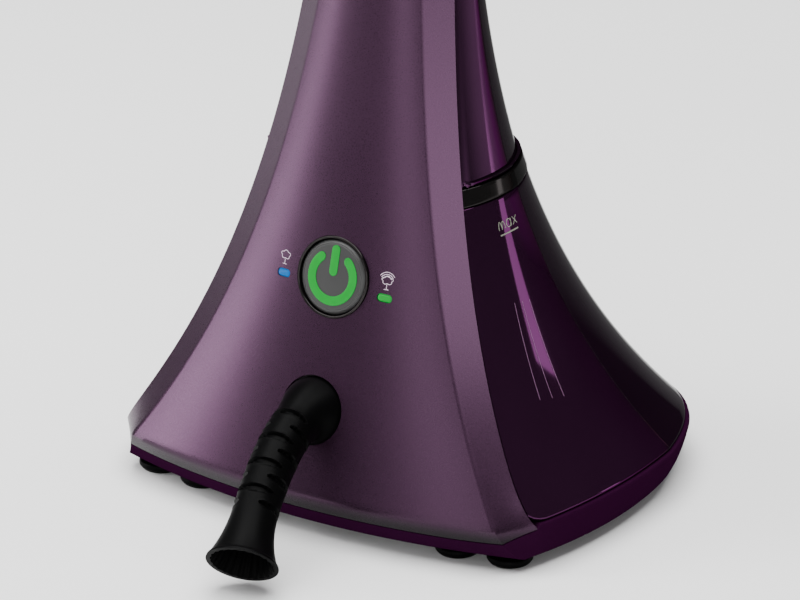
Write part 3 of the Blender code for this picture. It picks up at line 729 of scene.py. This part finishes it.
def bay_surface(c, z):
    """Inner wall of the U: half width and depth both shrink evenly with height."""
    away = abs(np.asarray(c, float))
    half, back = 0.108 - 0.34 * (z - TANK_LOW), 0.071 - 0.06 * (z - TANK_LOW)
    front = levels(z)[1][..., 1] + 0.0042
    x = half * np.clip(away, 0, 1) * np.where(np.asarray(c) < 0, -1, 1)
    y = back + (front - back) * np.clip(away - 1, 0, 1)
    return stack(x, y, z)


def arm_front(c):
    """Lower edge of the tank: lifted along a quarter circle near the front of each arm."""
    reach, length = 0.014, 0.15
    s = np.clip((2 - abs(c)) * length / reach, 0, 1)
    return TANK_LOW + reach * 0.55 * (1 - np.sqrt(1 - (1 - s) ** 2))


tank_columns = rear_columns(40, 60)
tank_columns = np.sign(tank_columns) * np.minimum(abs(tank_columns), 1.993)
outer = rolled(rear_surface, tank_columns, arm_front(tank_columns), TANK_HIGH, 60, 0.0016)
inner = bay_surface(np.broadcast_to(tank_columns, outer.shape[:2]), outer[..., 2])
shell("tank_skin", outer, inner, "tank", TANK, ["tank"])

proud = 0.0009 * np.clip((2 - abs(tank_columns)) / 0.3, 0, 1)[None, :, None]
outer = rolled(rear_surface, tank_columns, BAND_LOW, BAND_HIGH, 8, 0.0008, proud)
inner = bay_surface(np.broadcast_to(tank_columns, outer.shape[:2]), outer[..., 2])
lid = shell("tank_lid_skin", outer, inner, "tank", BLACK_GLOSS, ["tank_lid"])
PORT_R, PORT_Y = 0.009, 0.0728
cut(lid, [drum(PORT_R, (0.0, PORT_Y, BAND_HIGH), (0, 0, 1), 0.03, 64)])
print("lid", len(lid.data.polygons), "faces; tank from", round(TANK_LOW, 4), "to", round(TANK_HIGH, 4))

# %% [markdown]
# ## Base
# The skirt leans in below the knee, with a facet under each strip. Its upper edge follows the front
# shell's lower edge at a hair's distance, so a fine dark seam shows. A flat plate with rubber feet
# closes it underneath; the plate is set back, so the machine seems to float on a shadow.

# %% Loops round the whole body
front_part = np.concatenate([[-2.0], front_columns()[1:-1], [2.0]])
rear_part = rear_columns(36, 60)[1:-1]


def loop_surface(c, z):
    """Whole outline: the front's columns, then the rear's, in one closed loop."""
    n = len(front_part)
    return np.concatenate([front_surface(c[..., :n], z[..., :n]), rear_surface(c[..., n:], z[..., n:])], -2)


loop = np.concatenate([front_part, rear_part])


def loop_normals(points):
    """Outward normals of a closed loop grid, flat: along the loop's tangent turned a quarter."""
    tangent = np.roll(points, -1, -2) - np.roll(points, 1, -2)
    flat = stack(tangent[..., 1], -tangent[..., 0], 0 * tangent[..., 0])
    return flat / np.linalg.norm(flat, axis=-1, keepdims=True)


def stacked_loops(name, rows, body, finish, replaces, angle=35):
    """Closed solid from loops one above the other, with a flat face at each end."""
    rows = np.asarray(rows)
    count = rows.shape[1]
    faces = list(grid_faces(len(rows), count, False, True))
    faces += [np.arange(count)[::-1], np.arange(count) + (len(rows) - 1) * count]
    return piece(name, rows, faces, body, finish, replaces, angle)


print("a loop round the body has", len(loop), "points")

# %% [markdown]
# The skirt is a stack of such loops: a rounded lower edge, the undercut wall, a small upper edge, and
# a deck drawn in under the tank.

# %% Skirt
DECK_Z = TANK_LOW - 0.0012
LOWER_R, UPPER_R = 0.0012, 0.0006
seam_z = np.concatenate([front_lower(front_part) - SEAM, np.full(len(rear_part), DECK_Z)])
rows = []
for a in np.linspace(0, math.pi / 2, 6):
    ring = loop_surface(loop, np.full(loop.shape, SKIRT_Z + LOWER_R * (1 - math.cos(a))))
    rows.append(ring - loop_normals(ring) * LOWER_R * (1 - math.sin(a)))
for share in np.linspace(0, 1, 14)[1:]:
    rows.append(loop_surface(loop, SKIRT_Z + LOWER_R + (seam_z - UPPER_R - SKIRT_Z - LOWER_R) * share))
for a in np.linspace(0, math.pi / 2, 5)[1:]:
    ring = loop_surface(loop, seam_z - UPPER_R * (1 - math.sin(a)))
    rows.append(ring - loop_normals(ring) * UPPER_R * (1 - math.cos(a)))
rows.append(rows[-1] - loop_normals(rows[-1]) * 0.0040)
deck = rows[-1] - loop_normals(rows[-1]) * 0.0004
deck[..., 2] = DECK_Z
rows.append(deck)
stacked_loops("base_skirt_skin", rows, "base", SKIRT, ["base_tray"])
print("skirt from", SKIRT_Z, "to", round(float(seam_z.max()), 4))

# %% [markdown]
# The plate is pressed sheet or a flat moulding, screwed on; the feet are turned rubber pads.

# %% Plate and feet
plate_low, plate_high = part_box("base_plate")[0][2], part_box("base_plate")[1][2]
foot_loop = loop_surface(loop, np.full(loop.shape, SKIRT_Z))
inward = loop_normals(foot_loop)
rows = []
for inset, z in (
    (0.0075, plate_low), (0.0062, plate_low + 0.0006), (0.0060, plate_low + 0.0011), (0.0060, plate_high)
):
    row = foot_loop - inward * inset
    row[:, 2] = z
    rows.append(row)
stacked_loops("base_plate_skin", rows, "base", BLACK, ["base_plate"], 50)

for name in [f"foot_{row}_{hand}" for row in ("front", "inner", "rear") for hand in ("left", "right")]:
    low, high, middle = box_of(name)
    radius, top = 0.5 * (high[0] - low[0]), high[2]
    profile = [(0, 0), (radius - 0.0023, 0), (radius, 0.003), (radius - 0.0006, top), (0, top)]
    place = (middle[0], middle[1], 0)
    turned(name + "_skin", rounded(profile, 0.0012), place, (0, 0, 1), "base", RUBBER, [name])
print("plate from", round(plate_low, 4), "to", round(plate_high, 4), "on six feet")

# %% [markdown]
# The collar turns the body's rounded-square neck into a circle that hugs the pole: each loop is a
# blend between the neck's outline and a circle, the blend running as a smooth S over the height.

# %% Collar
COLLAR_R, BORE_R = 0.0235, 0.0164
neck = loop_surface(loop, np.full(loop.shape, NECK_Z))
collar_low, collar_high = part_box("neck_collar")[0][2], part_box("neck_collar")[1][2]
turn = np.unwrap(np.arctan2(neck[:, 1] - POLE_Y, neck[:, 0]))
rows, bore = [], []
for share in np.linspace(0, 1, 22):
    bend = share * share * (3 - 2 * share)
    lip = 0.0014 * (1 - math.sqrt(max(0.0, 1 - max(0.0, (share - 0.93) / 0.07) ** 2)))
    radius = COLLAR_R - lip
    circle = stack(radius * np.cos(turn), POLE_Y + radius * np.sin(turn), 0 * turn)
    row = neck + (circle - neck) * bend
    row[:, 2] = collar_low + (collar_high - collar_low) * share
    rows.append(row)
    bore.append(stack(BORE_R * np.cos(turn), POLE_Y + BORE_R * np.sin(turn), row[:, 2]))
shell("neck_collar_skin", np.array(rows), np.array(bore), "base", BLACK_GLOSS, ["neck_collar"], True)
print("collar", collar_low, collar_high)

# %% [markdown]
# ## Power button and lamps
# The button is a flat cap with a chamfered rim in a glossy ring. The power symbol is a light guide:
# an open arc and a bar, each a flat stroke whose half width shrinks at its ends along a circle,
# w = r*sqrt(1 - (1 - s/r)^2), so that the ends are round.

# %% Ring, cap and symbol
ring_profile = [(0.0239, -0.0055), (0.0260, -0.0055), (0.0260, 0.0004), (0.0252, 0.0010), (0.0242, 0.0006),
                (0.0239, -0.0010), (0.0239, -0.0055)]
turned("button_ring_skin", rounded(ring_profile, 0.0005), button_place, button_normal, "base", BLACK_GLOSS,
       ["button_ring"], 160, closed=True)
cap_profile = [(0, -0.0048), (0.0235, -0.0048), (0.0235, -0.0012), (0.0216, 0.0002), (0.0212, 0.0002),
               (0.0210, -0.0001), (0.0206, 0.0003), (0, 0.0004)]
turned("button_cap", rounded(cap_profile, 0.0003), button_place, button_normal, "power_button", CAP_GREY,
       ["power_button"], 160)
print("ring", 2000 * ring_profile[1][0], "mm across, cap", 2000 * cap_profile[1][0], "mm")

# %% [markdown]
# The stroke also draws every printed mark: it follows a path and lies flat on the surface.

# %% Power symbol
def stroke(name, path, radius, thickness, normal, body, finish, replaces=()):
    """Flat ribbon with round ends along a path, its width across the normal."""
    path = np.asarray(path, float)
    run = np.concatenate([[0], np.cumsum(np.linalg.norm(np.diff(path, axis=0), axis=1))])
    total = run[-1]
    dense = np.linspace(0, 1, 9)
    ends = radius * (1 - np.cos(dense * math.pi / 2))
    s = np.unique(np.round(np.concatenate([ends, np.linspace(radius, total - radius, 40), total - ends]), 8))
    path = np.stack([np.interp(s, run, path[:, k]) for k in range(3)], 1)
    near = np.clip(np.minimum(s, total - s) / radius, 0, 1)
    width = radius * np.sqrt(np.maximum(1 - (1 - near) ** 2, 0.0004))
    return swept(name, path, thickness, width, body, finish, replaces, 16, normal, 0.6, 0)


across, up, _ = basis(button_normal)
face = button_place + 0.0005 * button_normal
SYMBOL_R, STROKE_R, STROKE_RISE = 0.0150, 0.0029, 0.00035
bend = np.radians(90) + np.radians(np.linspace(30, 330, 120))
arc = face + SYMBOL_R * (np.cos(bend)[:, None] * across + np.sin(bend)[:, None] * up)
bar = face + np.linspace(0.0008, 0.0203, 30)[:, None] * up
for part, line in (("arc", arc), ("bar", bar)):
    stroke("power_symbol_" + part, line, STROKE_R, STROKE_RISE, button_normal, "power_button", GREEN,
           ["power_icon_" + part])
print("symbol", 2000 * (SYMBOL_R + STROKE_R), "mm across")

# %% [markdown]
# Beside the button two light guides fill slots in the shell; above each a small printed mark shows
# steam: a puff on a stem, and a puff with three arcs for more steam. They are strokes laid on the
# face, a few hundredths of a millimetre proud so that they don't flicker against it.

# %% Lamps and printed marks
PRINT_RISE = 0.00003
for side, name, finish in ((-1, "led_left", BLUE), (1, "led_right", GREEN)):
    place, normal = facing(face_at, side * LAMP_X, LAMP_Z)
    rounded_box(name + "_lens", (0.0100, 0.0050, 0.0060), place - 0.0026 * normal, 0.0022, "base", finish,
                [name], basis(normal))


def puff(cx, cz, size):
    """Outline of a small cloud: a circle whose radius swells in five lobes over its upper half."""
    a = np.linspace(0, 2 * math.pi, 90)
    r = size * (0.86 + 0.34 * abs(np.sin(2.5 * (a + 0.3))))
    return cx + 1.25 * r * np.cos(a), cz + 0.85 * r * np.sin(a)


def mark(name, x, z):
    """A fine white stroke just proud of the front face."""
    place, normal = facing(face_at, x, z)
    flat = facing(face_at, np.mean(x), np.mean(z))[1]
    stroke(name, place + 0.00006 * normal, 0.00018, PRINT_RISE, flat, "base", PRINT_WHITE)


for side, label in ((-1, "low"), (1, "high")):
    cx, cz = side * (LAMP_X + 0.0003), LAMP_Z + 0.0095
    mark(f"steam_mark_{label}_puff", *puff(cx, cz + 0.0014, 0.0026))
    mark(f"steam_mark_{label}_stem", np.full(8, cx), np.linspace(cz - 0.0042, cz - 0.0012, 8))
    mark(f"steam_mark_{label}_foot", cx + np.linspace(-0.0016, 0.0016, 8), np.full(8, cz - 0.0042))
a = np.radians(np.linspace(38, 142, 24))
for k in range(3):
    x, z = (0.0042 + 0.0013 * k) * np.cos(a) * 0.9, (0.0042 + 0.0013 * k) * np.sin(a)
    mark(f"steam_mark_high_arc_{k + 1}", LAMP_X + x, LAMP_Z + 0.0090 + z)
print("lamps at x", LAMP_X, "either side, height", LAMP_Z)

# %% [markdown]
# ## Marks on the tank
# A fill mark and three fine level lines are printed on the tank's side. The letters are strokes too,
# laid on the side by a function of depth and height.

# %% Fill mark and level lines
def side_mark(name, y, z, radius, finish):
    """A stroke just proud of the right side, flat to the way the tank's wall faces at the fill mark."""
    place, normal = facing(side_at, y, z)
    stroke(name, place + 0.00008 * normal, radius, PRINT_RISE, (1, -0.1, 0.35), "tank", finish)


level_lines = [((0.0005, -0.0075), (0.149, 0.092)), ((0.0073, 0.0030), (0.148, 0.090)),
               ((0.0141, 0.0135), (0.147, 0.088))]
for k, (y, z) in enumerate(level_lines):
    side_mark(f"level_line_{k + 1}", np.linspace(*y, 30), np.linspace(*z, 30), 0.00022, PRINT_PLUM)
MARK_Y, MARK_Z, LETTER = 0.0045, 0.1925, 0.0050
underline = MARK_Y + np.linspace(0.0, 0.0180, 12)
side_mark("fill_mark_line", underline, np.full(12, MARK_Z - 0.0030), 0.00045, PRINT_GREY)
t = np.linspace(0, 1, 24)
hump = np.sin(np.linspace(0, math.pi, 24)) ** 0.6
letters = {
    "m_first": (0.0030 * t, LETTER * hump), "m_second": (0.0030 + 0.0030 * t, LETTER * hump),
    "a_bowl": (0.0098 + 0.0022 * np.cos(2 * math.pi * t), LETTER * (0.5 + 0.5 * np.sin(2 * math.pi * t))),
    "a_stem": (0.0121 + 0 * t, LETTER * t), "x_rise": (0.0140 + 0.0040 * t, LETTER * t),
    "x_fall": (0.0140 + 0.0040 * t, LETTER * (1 - t)),
}
for name, (y, z) in letters.items():
    side_mark("fill_mark_" + name, MARK_Y + y, MARK_Z + z, 0.00030, PRINT_GREY)
print(len(letters), "letter strokes and", len(level_lines), "level lines")

# %% [markdown]
# ## Hose boot
# A rubber boot leaves the shell square to it, bends down and opens like a trumpet. Its middle line
# is a cubic Bezier. The radius is a slim pipe plus two terms: a shoulder at the root and a power law
# at the mouth. Staggered slots make it bend: each is a smooth dent, centred on the front or the side.

# %% Boot's line and radius
BOOT_WALL, ROOT_SWELL, MOUTH_SWELL = 0.0028, 0.0064, 0.0089


def boot_line(t):
    """Cubic Bezier from just under the shell, straight out and then down to the mouth."""
    start = boot_place - 0.0030 * boot_normal
    first = start + np.array([-0.0008, -0.0364, 0.0040])
    last = np.array([0.0193, -0.1810, 0.0200])
    second = last - np.array([0.0092, -0.0268, -0.0238])
    t = np.asarray(t, float)[:, None]
    return (1 - t) ** 3 * start + 3 * (1 - t) ** 2 * t * first + 3 * (1 - t) * t**2 * second + t**3 * last


def smooth(low, high, x):
    """0 below low, 1 above high, and a cubic S between."""
    t = np.clip((x - low) / (high - low), 0, 1)
    return t * t * (3 - 2 * t)


rows, sides = 300, 144
t = np.linspace(0, 1, rows)
line = boot_line(t)
run = np.concatenate([[0], np.cumsum(np.linalg.norm(np.diff(line, axis=0), axis=1))])
tangent = np.gradient(line, axis=0)
tangent /= np.linalg.norm(tangent, axis=1, keepdims=True)
lean = np.minimum(1, t / 0.15)[:, None]
ahead = boot_normal + (tangent - boot_normal) * lean
ahead /= np.linalg.norm(ahead, axis=1, keepdims=True)
side = np.array([1.0, 0, 0]) - ahead * ahead[:, :1]
side /= np.linalg.norm(side, axis=1, keepdims=True)
top = np.cross(ahead, side)
angle = np.linspace(0, 2 * math.pi, sides, endpoint=False)
root = ROOT_SWELL * (0.5 + 0.5 * np.cos(math.pi * np.minimum(1, t / 0.19)))
radius = 0.0140 + 0.0010 * (1 - t) + root + MOUTH_SWELL * np.maximum(0, (t - 0.70) / 0.30) ** 2
print("boot", round(run[-1], 4), "long, mouth radius", round(radius[-1], 4))

# %% [markdown]
# Slots are centred by turns on the front and on both sides. Each is as deep as SLOT_DEPTH, ends in a
# half ellipse, and has a thin raised lip. Fine ribs line the mouth.

# %% Boot's slots and skin
SLOT_FIRST, SLOT_PITCH, SLOT_COUNT = 0.0265, 0.0092, 8
SLOT_HALF, SLOT_DEPTH, LIP_RISE = 0.0020, 0.0024, 0.00025
slots, lips = np.zeros((rows, sides)), np.zeros((rows, sides))
from_top = abs((angle - math.pi / 2 + math.pi) % (2 * math.pi) - math.pi)
for k in range(SLOT_COUNT):
    centre, reach = (0, 58) if k % 2 == 0 else (76, 48)
    off = abs(from_top - math.radians(centre)) / math.radians(reach)
    half = SLOT_HALF * np.sqrt(np.clip(1 - off**2, 0, 1))
    gap = abs(run - SLOT_FIRST - SLOT_PITCH * k)[:, None] - half[None]
    slots = np.maximum(slots, (1 - smooth(-0.0003, 0.0003, gap)) * (off < 1))
    lips = np.maximum(lips, np.exp(-(((gap - 0.0006) / 0.0004) ** 2)) * (off < 1.03))
bead = 0.0005 * np.exp(-(((run[-1] - run) - 0.0012) / 0.0010) ** 2)
outer_r = (radius + bead)[:, None] - SLOT_DEPTH * slots + LIP_RISE * lips
ribs = 0.0004 * np.sin(24 * angle)[None] * smooth(0.72, 0.80, t)[:, None]
inner_r = (radius - BOOT_WALL)[:, None] + ribs
spokes = np.cos(angle)[None, :, None] * side[:, None] + np.sin(angle)[None, :, None] * top[:, None]
outer = line[:, None] + outer_r[..., None] * spokes
inner = line[:, None] + inner_r[..., None] * spokes
shell("hose_boot_skin", outer, inner, "base", RUBBER, ["hose_boot"], True, 50)
print(SLOT_COUNT, "rows of slots, lowest point", round(outer[..., 2].min(), 4))

# %% [markdown]
# ## Pole, clamps and levers
# Three tubes slide in each other. Each joint has a moulded clamp with grip rings and a small cam
# lever at the rear, seen beside its lug.

# %% Tubes and clamps
TUBE_WALL = 0.0015


def on_pole(name, profile, body, finish, replaces, corner):
    """A closed profile with rounded corners, turned about the pole's axis."""
    turned(name, rounded(profile, corner), (0, POLE_Y, 0), (0, 0, 1), body, finish, replaces, 128, True)


for name, body in (("pole_tube", "base"), ("pole_stage_2", "stage_2"), ("pole_stage_3", "stage_3")):
    (left, _, low), (right, _, high), _ = box_of(name)
    r = 0.5 * (right - left)
    profile = [(r, low), (r, high), (r - TUBE_WALL, high), (r - TUBE_WALL, low), (r, low)]
    on_pole(name + "_skin", profile, body, ALUMINIUM, [name], 0.0004)

for k, (body, lower, upper) in enumerate([("base", 0.0164, 0.0140), ("stage_2", 0.0139, 0.0115)]):
    name = f"pole_clamp_{k + 1}"
    (left, _, low), (right, _, high), (_, _, middle) = box_of(name)
    skin = 0.5 * (right - left)
    grips = []
    for j in range(4):
        z = low + 0.005 + 0.0026 * j
        grips += [(skin, z), (skin - 0.0007, z + 0.0004), (skin - 0.0007, z + 0.0011), (skin, z + 0.0015)]
    profile = [(lower, low), (skin, low), *grips, (skin, high - 0.003), (skin - 0.0022, high), (upper, high),
               (upper, middle + 0.002), (lower, middle + 0.002), (lower, low)]
    on_pole(name + "_skin", profile, body, BLACK, [name], 0.0005)
    rounded_box(name + "_lug", (0.0100, 0.0096, 0.0050), (0, POLE_Y + skin + 0.0022, middle), 0.0009, body,
                BLACK, [name])
    lever, pin_y = f"clamp_lever_{k + 1}", POLE_Y + skin + 0.0048
    rounded_box(lever + "_plate", (0.0200, 0.0040, 0.0240), (0, pin_y + 0.0058, middle - 0.0100), 0.0014,
                f"lever_{k + 1}", BLACK_GLOSS, [lever])
    for sign, hand in ((-1, "left"), (1, "right")):
        cheek = (sign * 0.0079, pin_y + 0.0008, middle - 0.0014)
        rounded_box(f"{lever}_cheek_{hand}", (0.0040, 0.0080, 0.0066), cheek, 0.0010, f"lever_{k + 1}",
                    BLACK_GLOSS, [lever])
print("second clamp's middle at", round(middle, 4))

# %% [markdown]
# ## Hanger head
# The head carries two folding arms for a hanger and a hook for the steam head. All are rounded
# mouldings; slots for the arms are cut through the head, so the arms can swing out.

# %% Head, arms and hook
head = rounded_box("hanger_head_skin", (0.066, 0.034, 0.044), (0, POLE_Y, 0.592), 0.005, "stage_3", BLACK,
                   ["hanger_head"], steps=5)
cutters = [drum(0.0114, (0, POLE_Y, 0.560), (0, 0, 1), 0.032, 64)]
for sign in (-1, 1):
    slot = (sign * 0.0328, POLE_Y, 0.600)
    cutters.append(rounded_box("cutter", (0.0236, 0.0124, 0.070), slot, 0.001, "base", BLACK))
cut(head, cutters, sharpen=True)

for name in ("arm_left", "arm_right"):
    low, high, middle = box_of("hanger_" + name)
    rounded_box(name + "_skin", high - low, middle, 0.0028, name, BLACK_GLOSS, ["hanger_" + name], steps=5)

HOOK_R = 0.0032
bends = [(0.0, 0.0), (0.012, -0.002), (0.024, -0.010), (0.034, -0.008), (0.040, 0.002), (0.041, 0.014)]
hook = smooth_path([(0, POLE_Y - 0.0196 - y, 0.596 + z) for y, z in bends], 90)
swept("head_hook_skin", hook, HOOK_R, HOOK_R, "stage_3", BLACK, ["head_hook"])
print("head top at", round(box_of("hanger_head")[1][2], 4), "arms", np.round(high - low, 4))

# %% [markdown]
# The latch is a small press block in the cover's slot, with three ridges for the thumb.

# %% Tank latch
size = latch_high - latch_low
rounded_box("tank_latch_skin", size, latch_middle, 0.0020, "tank_latch", BLACK_GLOSS, ["tank_latch"], steps=4)
for k in range(3):
    ridge = latch_middle + np.array([0, 0.5 * size[1] - 0.0003, 0.0030 * (k - 1)])
    rounded_box(f"tank_latch_ridge_{k + 1}", (0.020, 0.0012, 0.0010), ridge, 0.0004, "tank_latch", BLACK)
print("latch", np.round(size, 4))

# %% [markdown]
# A ribbed rubber gland sits low at the rear, where mains comes in. It is a turned profile with three
# rings, along the axis in which the frame's own gland points.

# %% Mains gland
gland_middle = box_of("mains_gland")[2]
rings = [(0.0074, -0.0042)]
for j in range(3):
    h, r = -0.0030 + 0.0023 * j, 0.0073 - 0.0003 * j
    rings += [(r, h), (r, h + 0.0012), (r - 0.0010, h + 0.0014), (r - 0.0010, h + 0.0021)]
profile = [(0.0044, -0.0042), *rings, (0.0062, 0.0042), (0.0044, 0.0042), (0.0044, -0.0042)]
turned("mains_gland_skin", rounded(profile, 0.0003), gland_middle, (-0.35, 0.94, 0.0), "base", RUBBER,
       ["mains_gland"], 64, True)
print("gland at", np.round(gland_middle, 4))

# %% [markdown]
# ## What shows when the tank is out
# The frame's own nodes inside the body keep their shape. Each gets the finish of its slot.

# %% Finishes for the frame's own nodes
by_slot = {"steel": STEEL, "aluminium": ALUMINIUM, "cast": CAST, "grey_plastic": GREY, "board": BOARD,
           "silicone": SILICONE, "black_matt": BLACK, "black_gloss": BLACK_GLOSS, "rubber": RUBBER}
shown = sorted(name for name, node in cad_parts.items() if not node.hide_render)
for name in shown:
    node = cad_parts[name]
    for held in node.material_slots:
        held.material = by_slot[held.material.name.split(".")[0]].material
print("own nodes shown:", ", ".join(shown))

# %% [markdown]
# ## Floor, lamps and camera
# A plain pale floor and a dim white surround, as in a small studio.

# %% Floor and surround
def studio_floor():
    """Matt pale sheet, hardly clouded."""
    made = Finish("studio_floor", "", roughness=0.6)
    cloud = made.noise(0.6)
    made.feed(Base_Color=made.mix(cloud, (0.86, 0.86, 0.86), (0.92, 0.92, 0.92)))
    made.feed(Roughness=0.55 + 0.1 * cloud)
    return made


floor_mesh = bpy.data.meshes.new("floor")
floor_mesh.from_pydata([(-6, -6, 0), (6, -6, 0), (6, 6, 0), (-6, 6, 0)], [], [(0, 1, 2, 3)])
floor_mesh.materials.append(studio_floor().material)
floor = bpy.data.objects.new("floor", floor_mesh)
bpy.context.scene.collection.objects.link(floor)

world = bpy.data.worlds.new("studio")
world.use_nodes = True
world.node_tree.nodes["Background"].inputs["Color"].default_value = (1.0, 1.0, 1.0, 1.0)
world.node_tree.nodes["Background"].inputs["Strength"].default_value = 0.22
bpy.context.scene.world = world
print("floor", [round(d, 1) for d in floor.dimensions])

# %% [markdown]
# The key, a tall soft box at the left front, draws the long highlight down the lacquer. Two weaker
# ones light the face and the chamfer, two strips at the right rear draw lines on the gloss side, and
# a large one hangs overhead.

# %% Lights
def soft_box(name, place, target, size, power):
    """Area light of the given width and height in metres, aimed at a target."""
    lamp = bpy.data.lights.new(name, "AREA")
    lamp.shape = "RECTANGLE"
    lamp.size, lamp.size_y = size
    lamp.energy = power
    made = bpy.data.objects.new(name, lamp)
    made.location = place
    made.rotation_euler = aim(np.asarray(target, float) - np.asarray(place, float))
    bpy.context.scene.collection.objects.link(made)


def aim(direction):
    """Rotation that points -Z along a direction, with +Y kept upwards."""
    return Vector(direction).to_track_quat("-Z", "Y").to_euler()


def around_it(name, azimuth, distance, low, high, width, radiance):
    """Tall soft box standing around the machine. Its power is radiance * pi * area."""
    turn = math.radians(azimuth)
    place = (distance * math.sin(turn), -distance * math.cos(turn), 0.5 * (low + high))
    soft_box(name, place, (0, 0, 0.2), (width, high - low), radiance * math.pi * width * (high - low))


around_it("key", -57, 1.7, 0.0, 2.0, 0.40, 13.0)
around_it("front_right", -3, 2.2, 0.0, 1.2, 0.45, 3.5)
around_it("by_the_camera", 31, 7.5, 0.2, 3.4, 2.4, 6.5)
around_it("side_strip", 130, 1.8, 0.0, 0.42, 0.16, 4.5)
around_it("edge_strip", 160, 1.8, 0.0, 0.7, 0.045, 7.0)
soft_box("overhead", (0.0, 0.0, 2.7), (0, 0, 0), (3.0, 3.0), 210.0)
print("lights", len(bpy.data.lights))

# %% [markdown]
# The camera stands well back with a long lens, to the right of the front and above it, and looks at
# the lower body.

# %% Camera
AZIMUTH, ELEVATION, DISTANCE = math.radians(33.24), math.radians(23.18), 5.579
right = np.array([math.cos(AZIMUTH), math.sin(AZIMUTH), 0])
back = np.array([right[1], -right[0], 0]) * math.cos(ELEVATION) + np.array([0, 0, math.sin(ELEVATION)])
look_at = np.array([0, -0.0389, 0.2]) + 0.0353 * right - 0.0540 * np.cross(back, right)
lens = bpy.data.cameras.new("camera")
lens.lens, lens.sensor_width = 405.0, 36.0
lens.clip_start, lens.clip_end = 0.05, 50.0
camera = bpy.data.objects.new("camera", lens)
camera.location = look_at + DISTANCE * back
camera.rotation_euler = aim(-back)
bpy.context.scene.collection.objects.link(camera)
bpy.context.scene.camera = camera
print("camera at", np.round(camera.location, 3))

# %% [markdown]
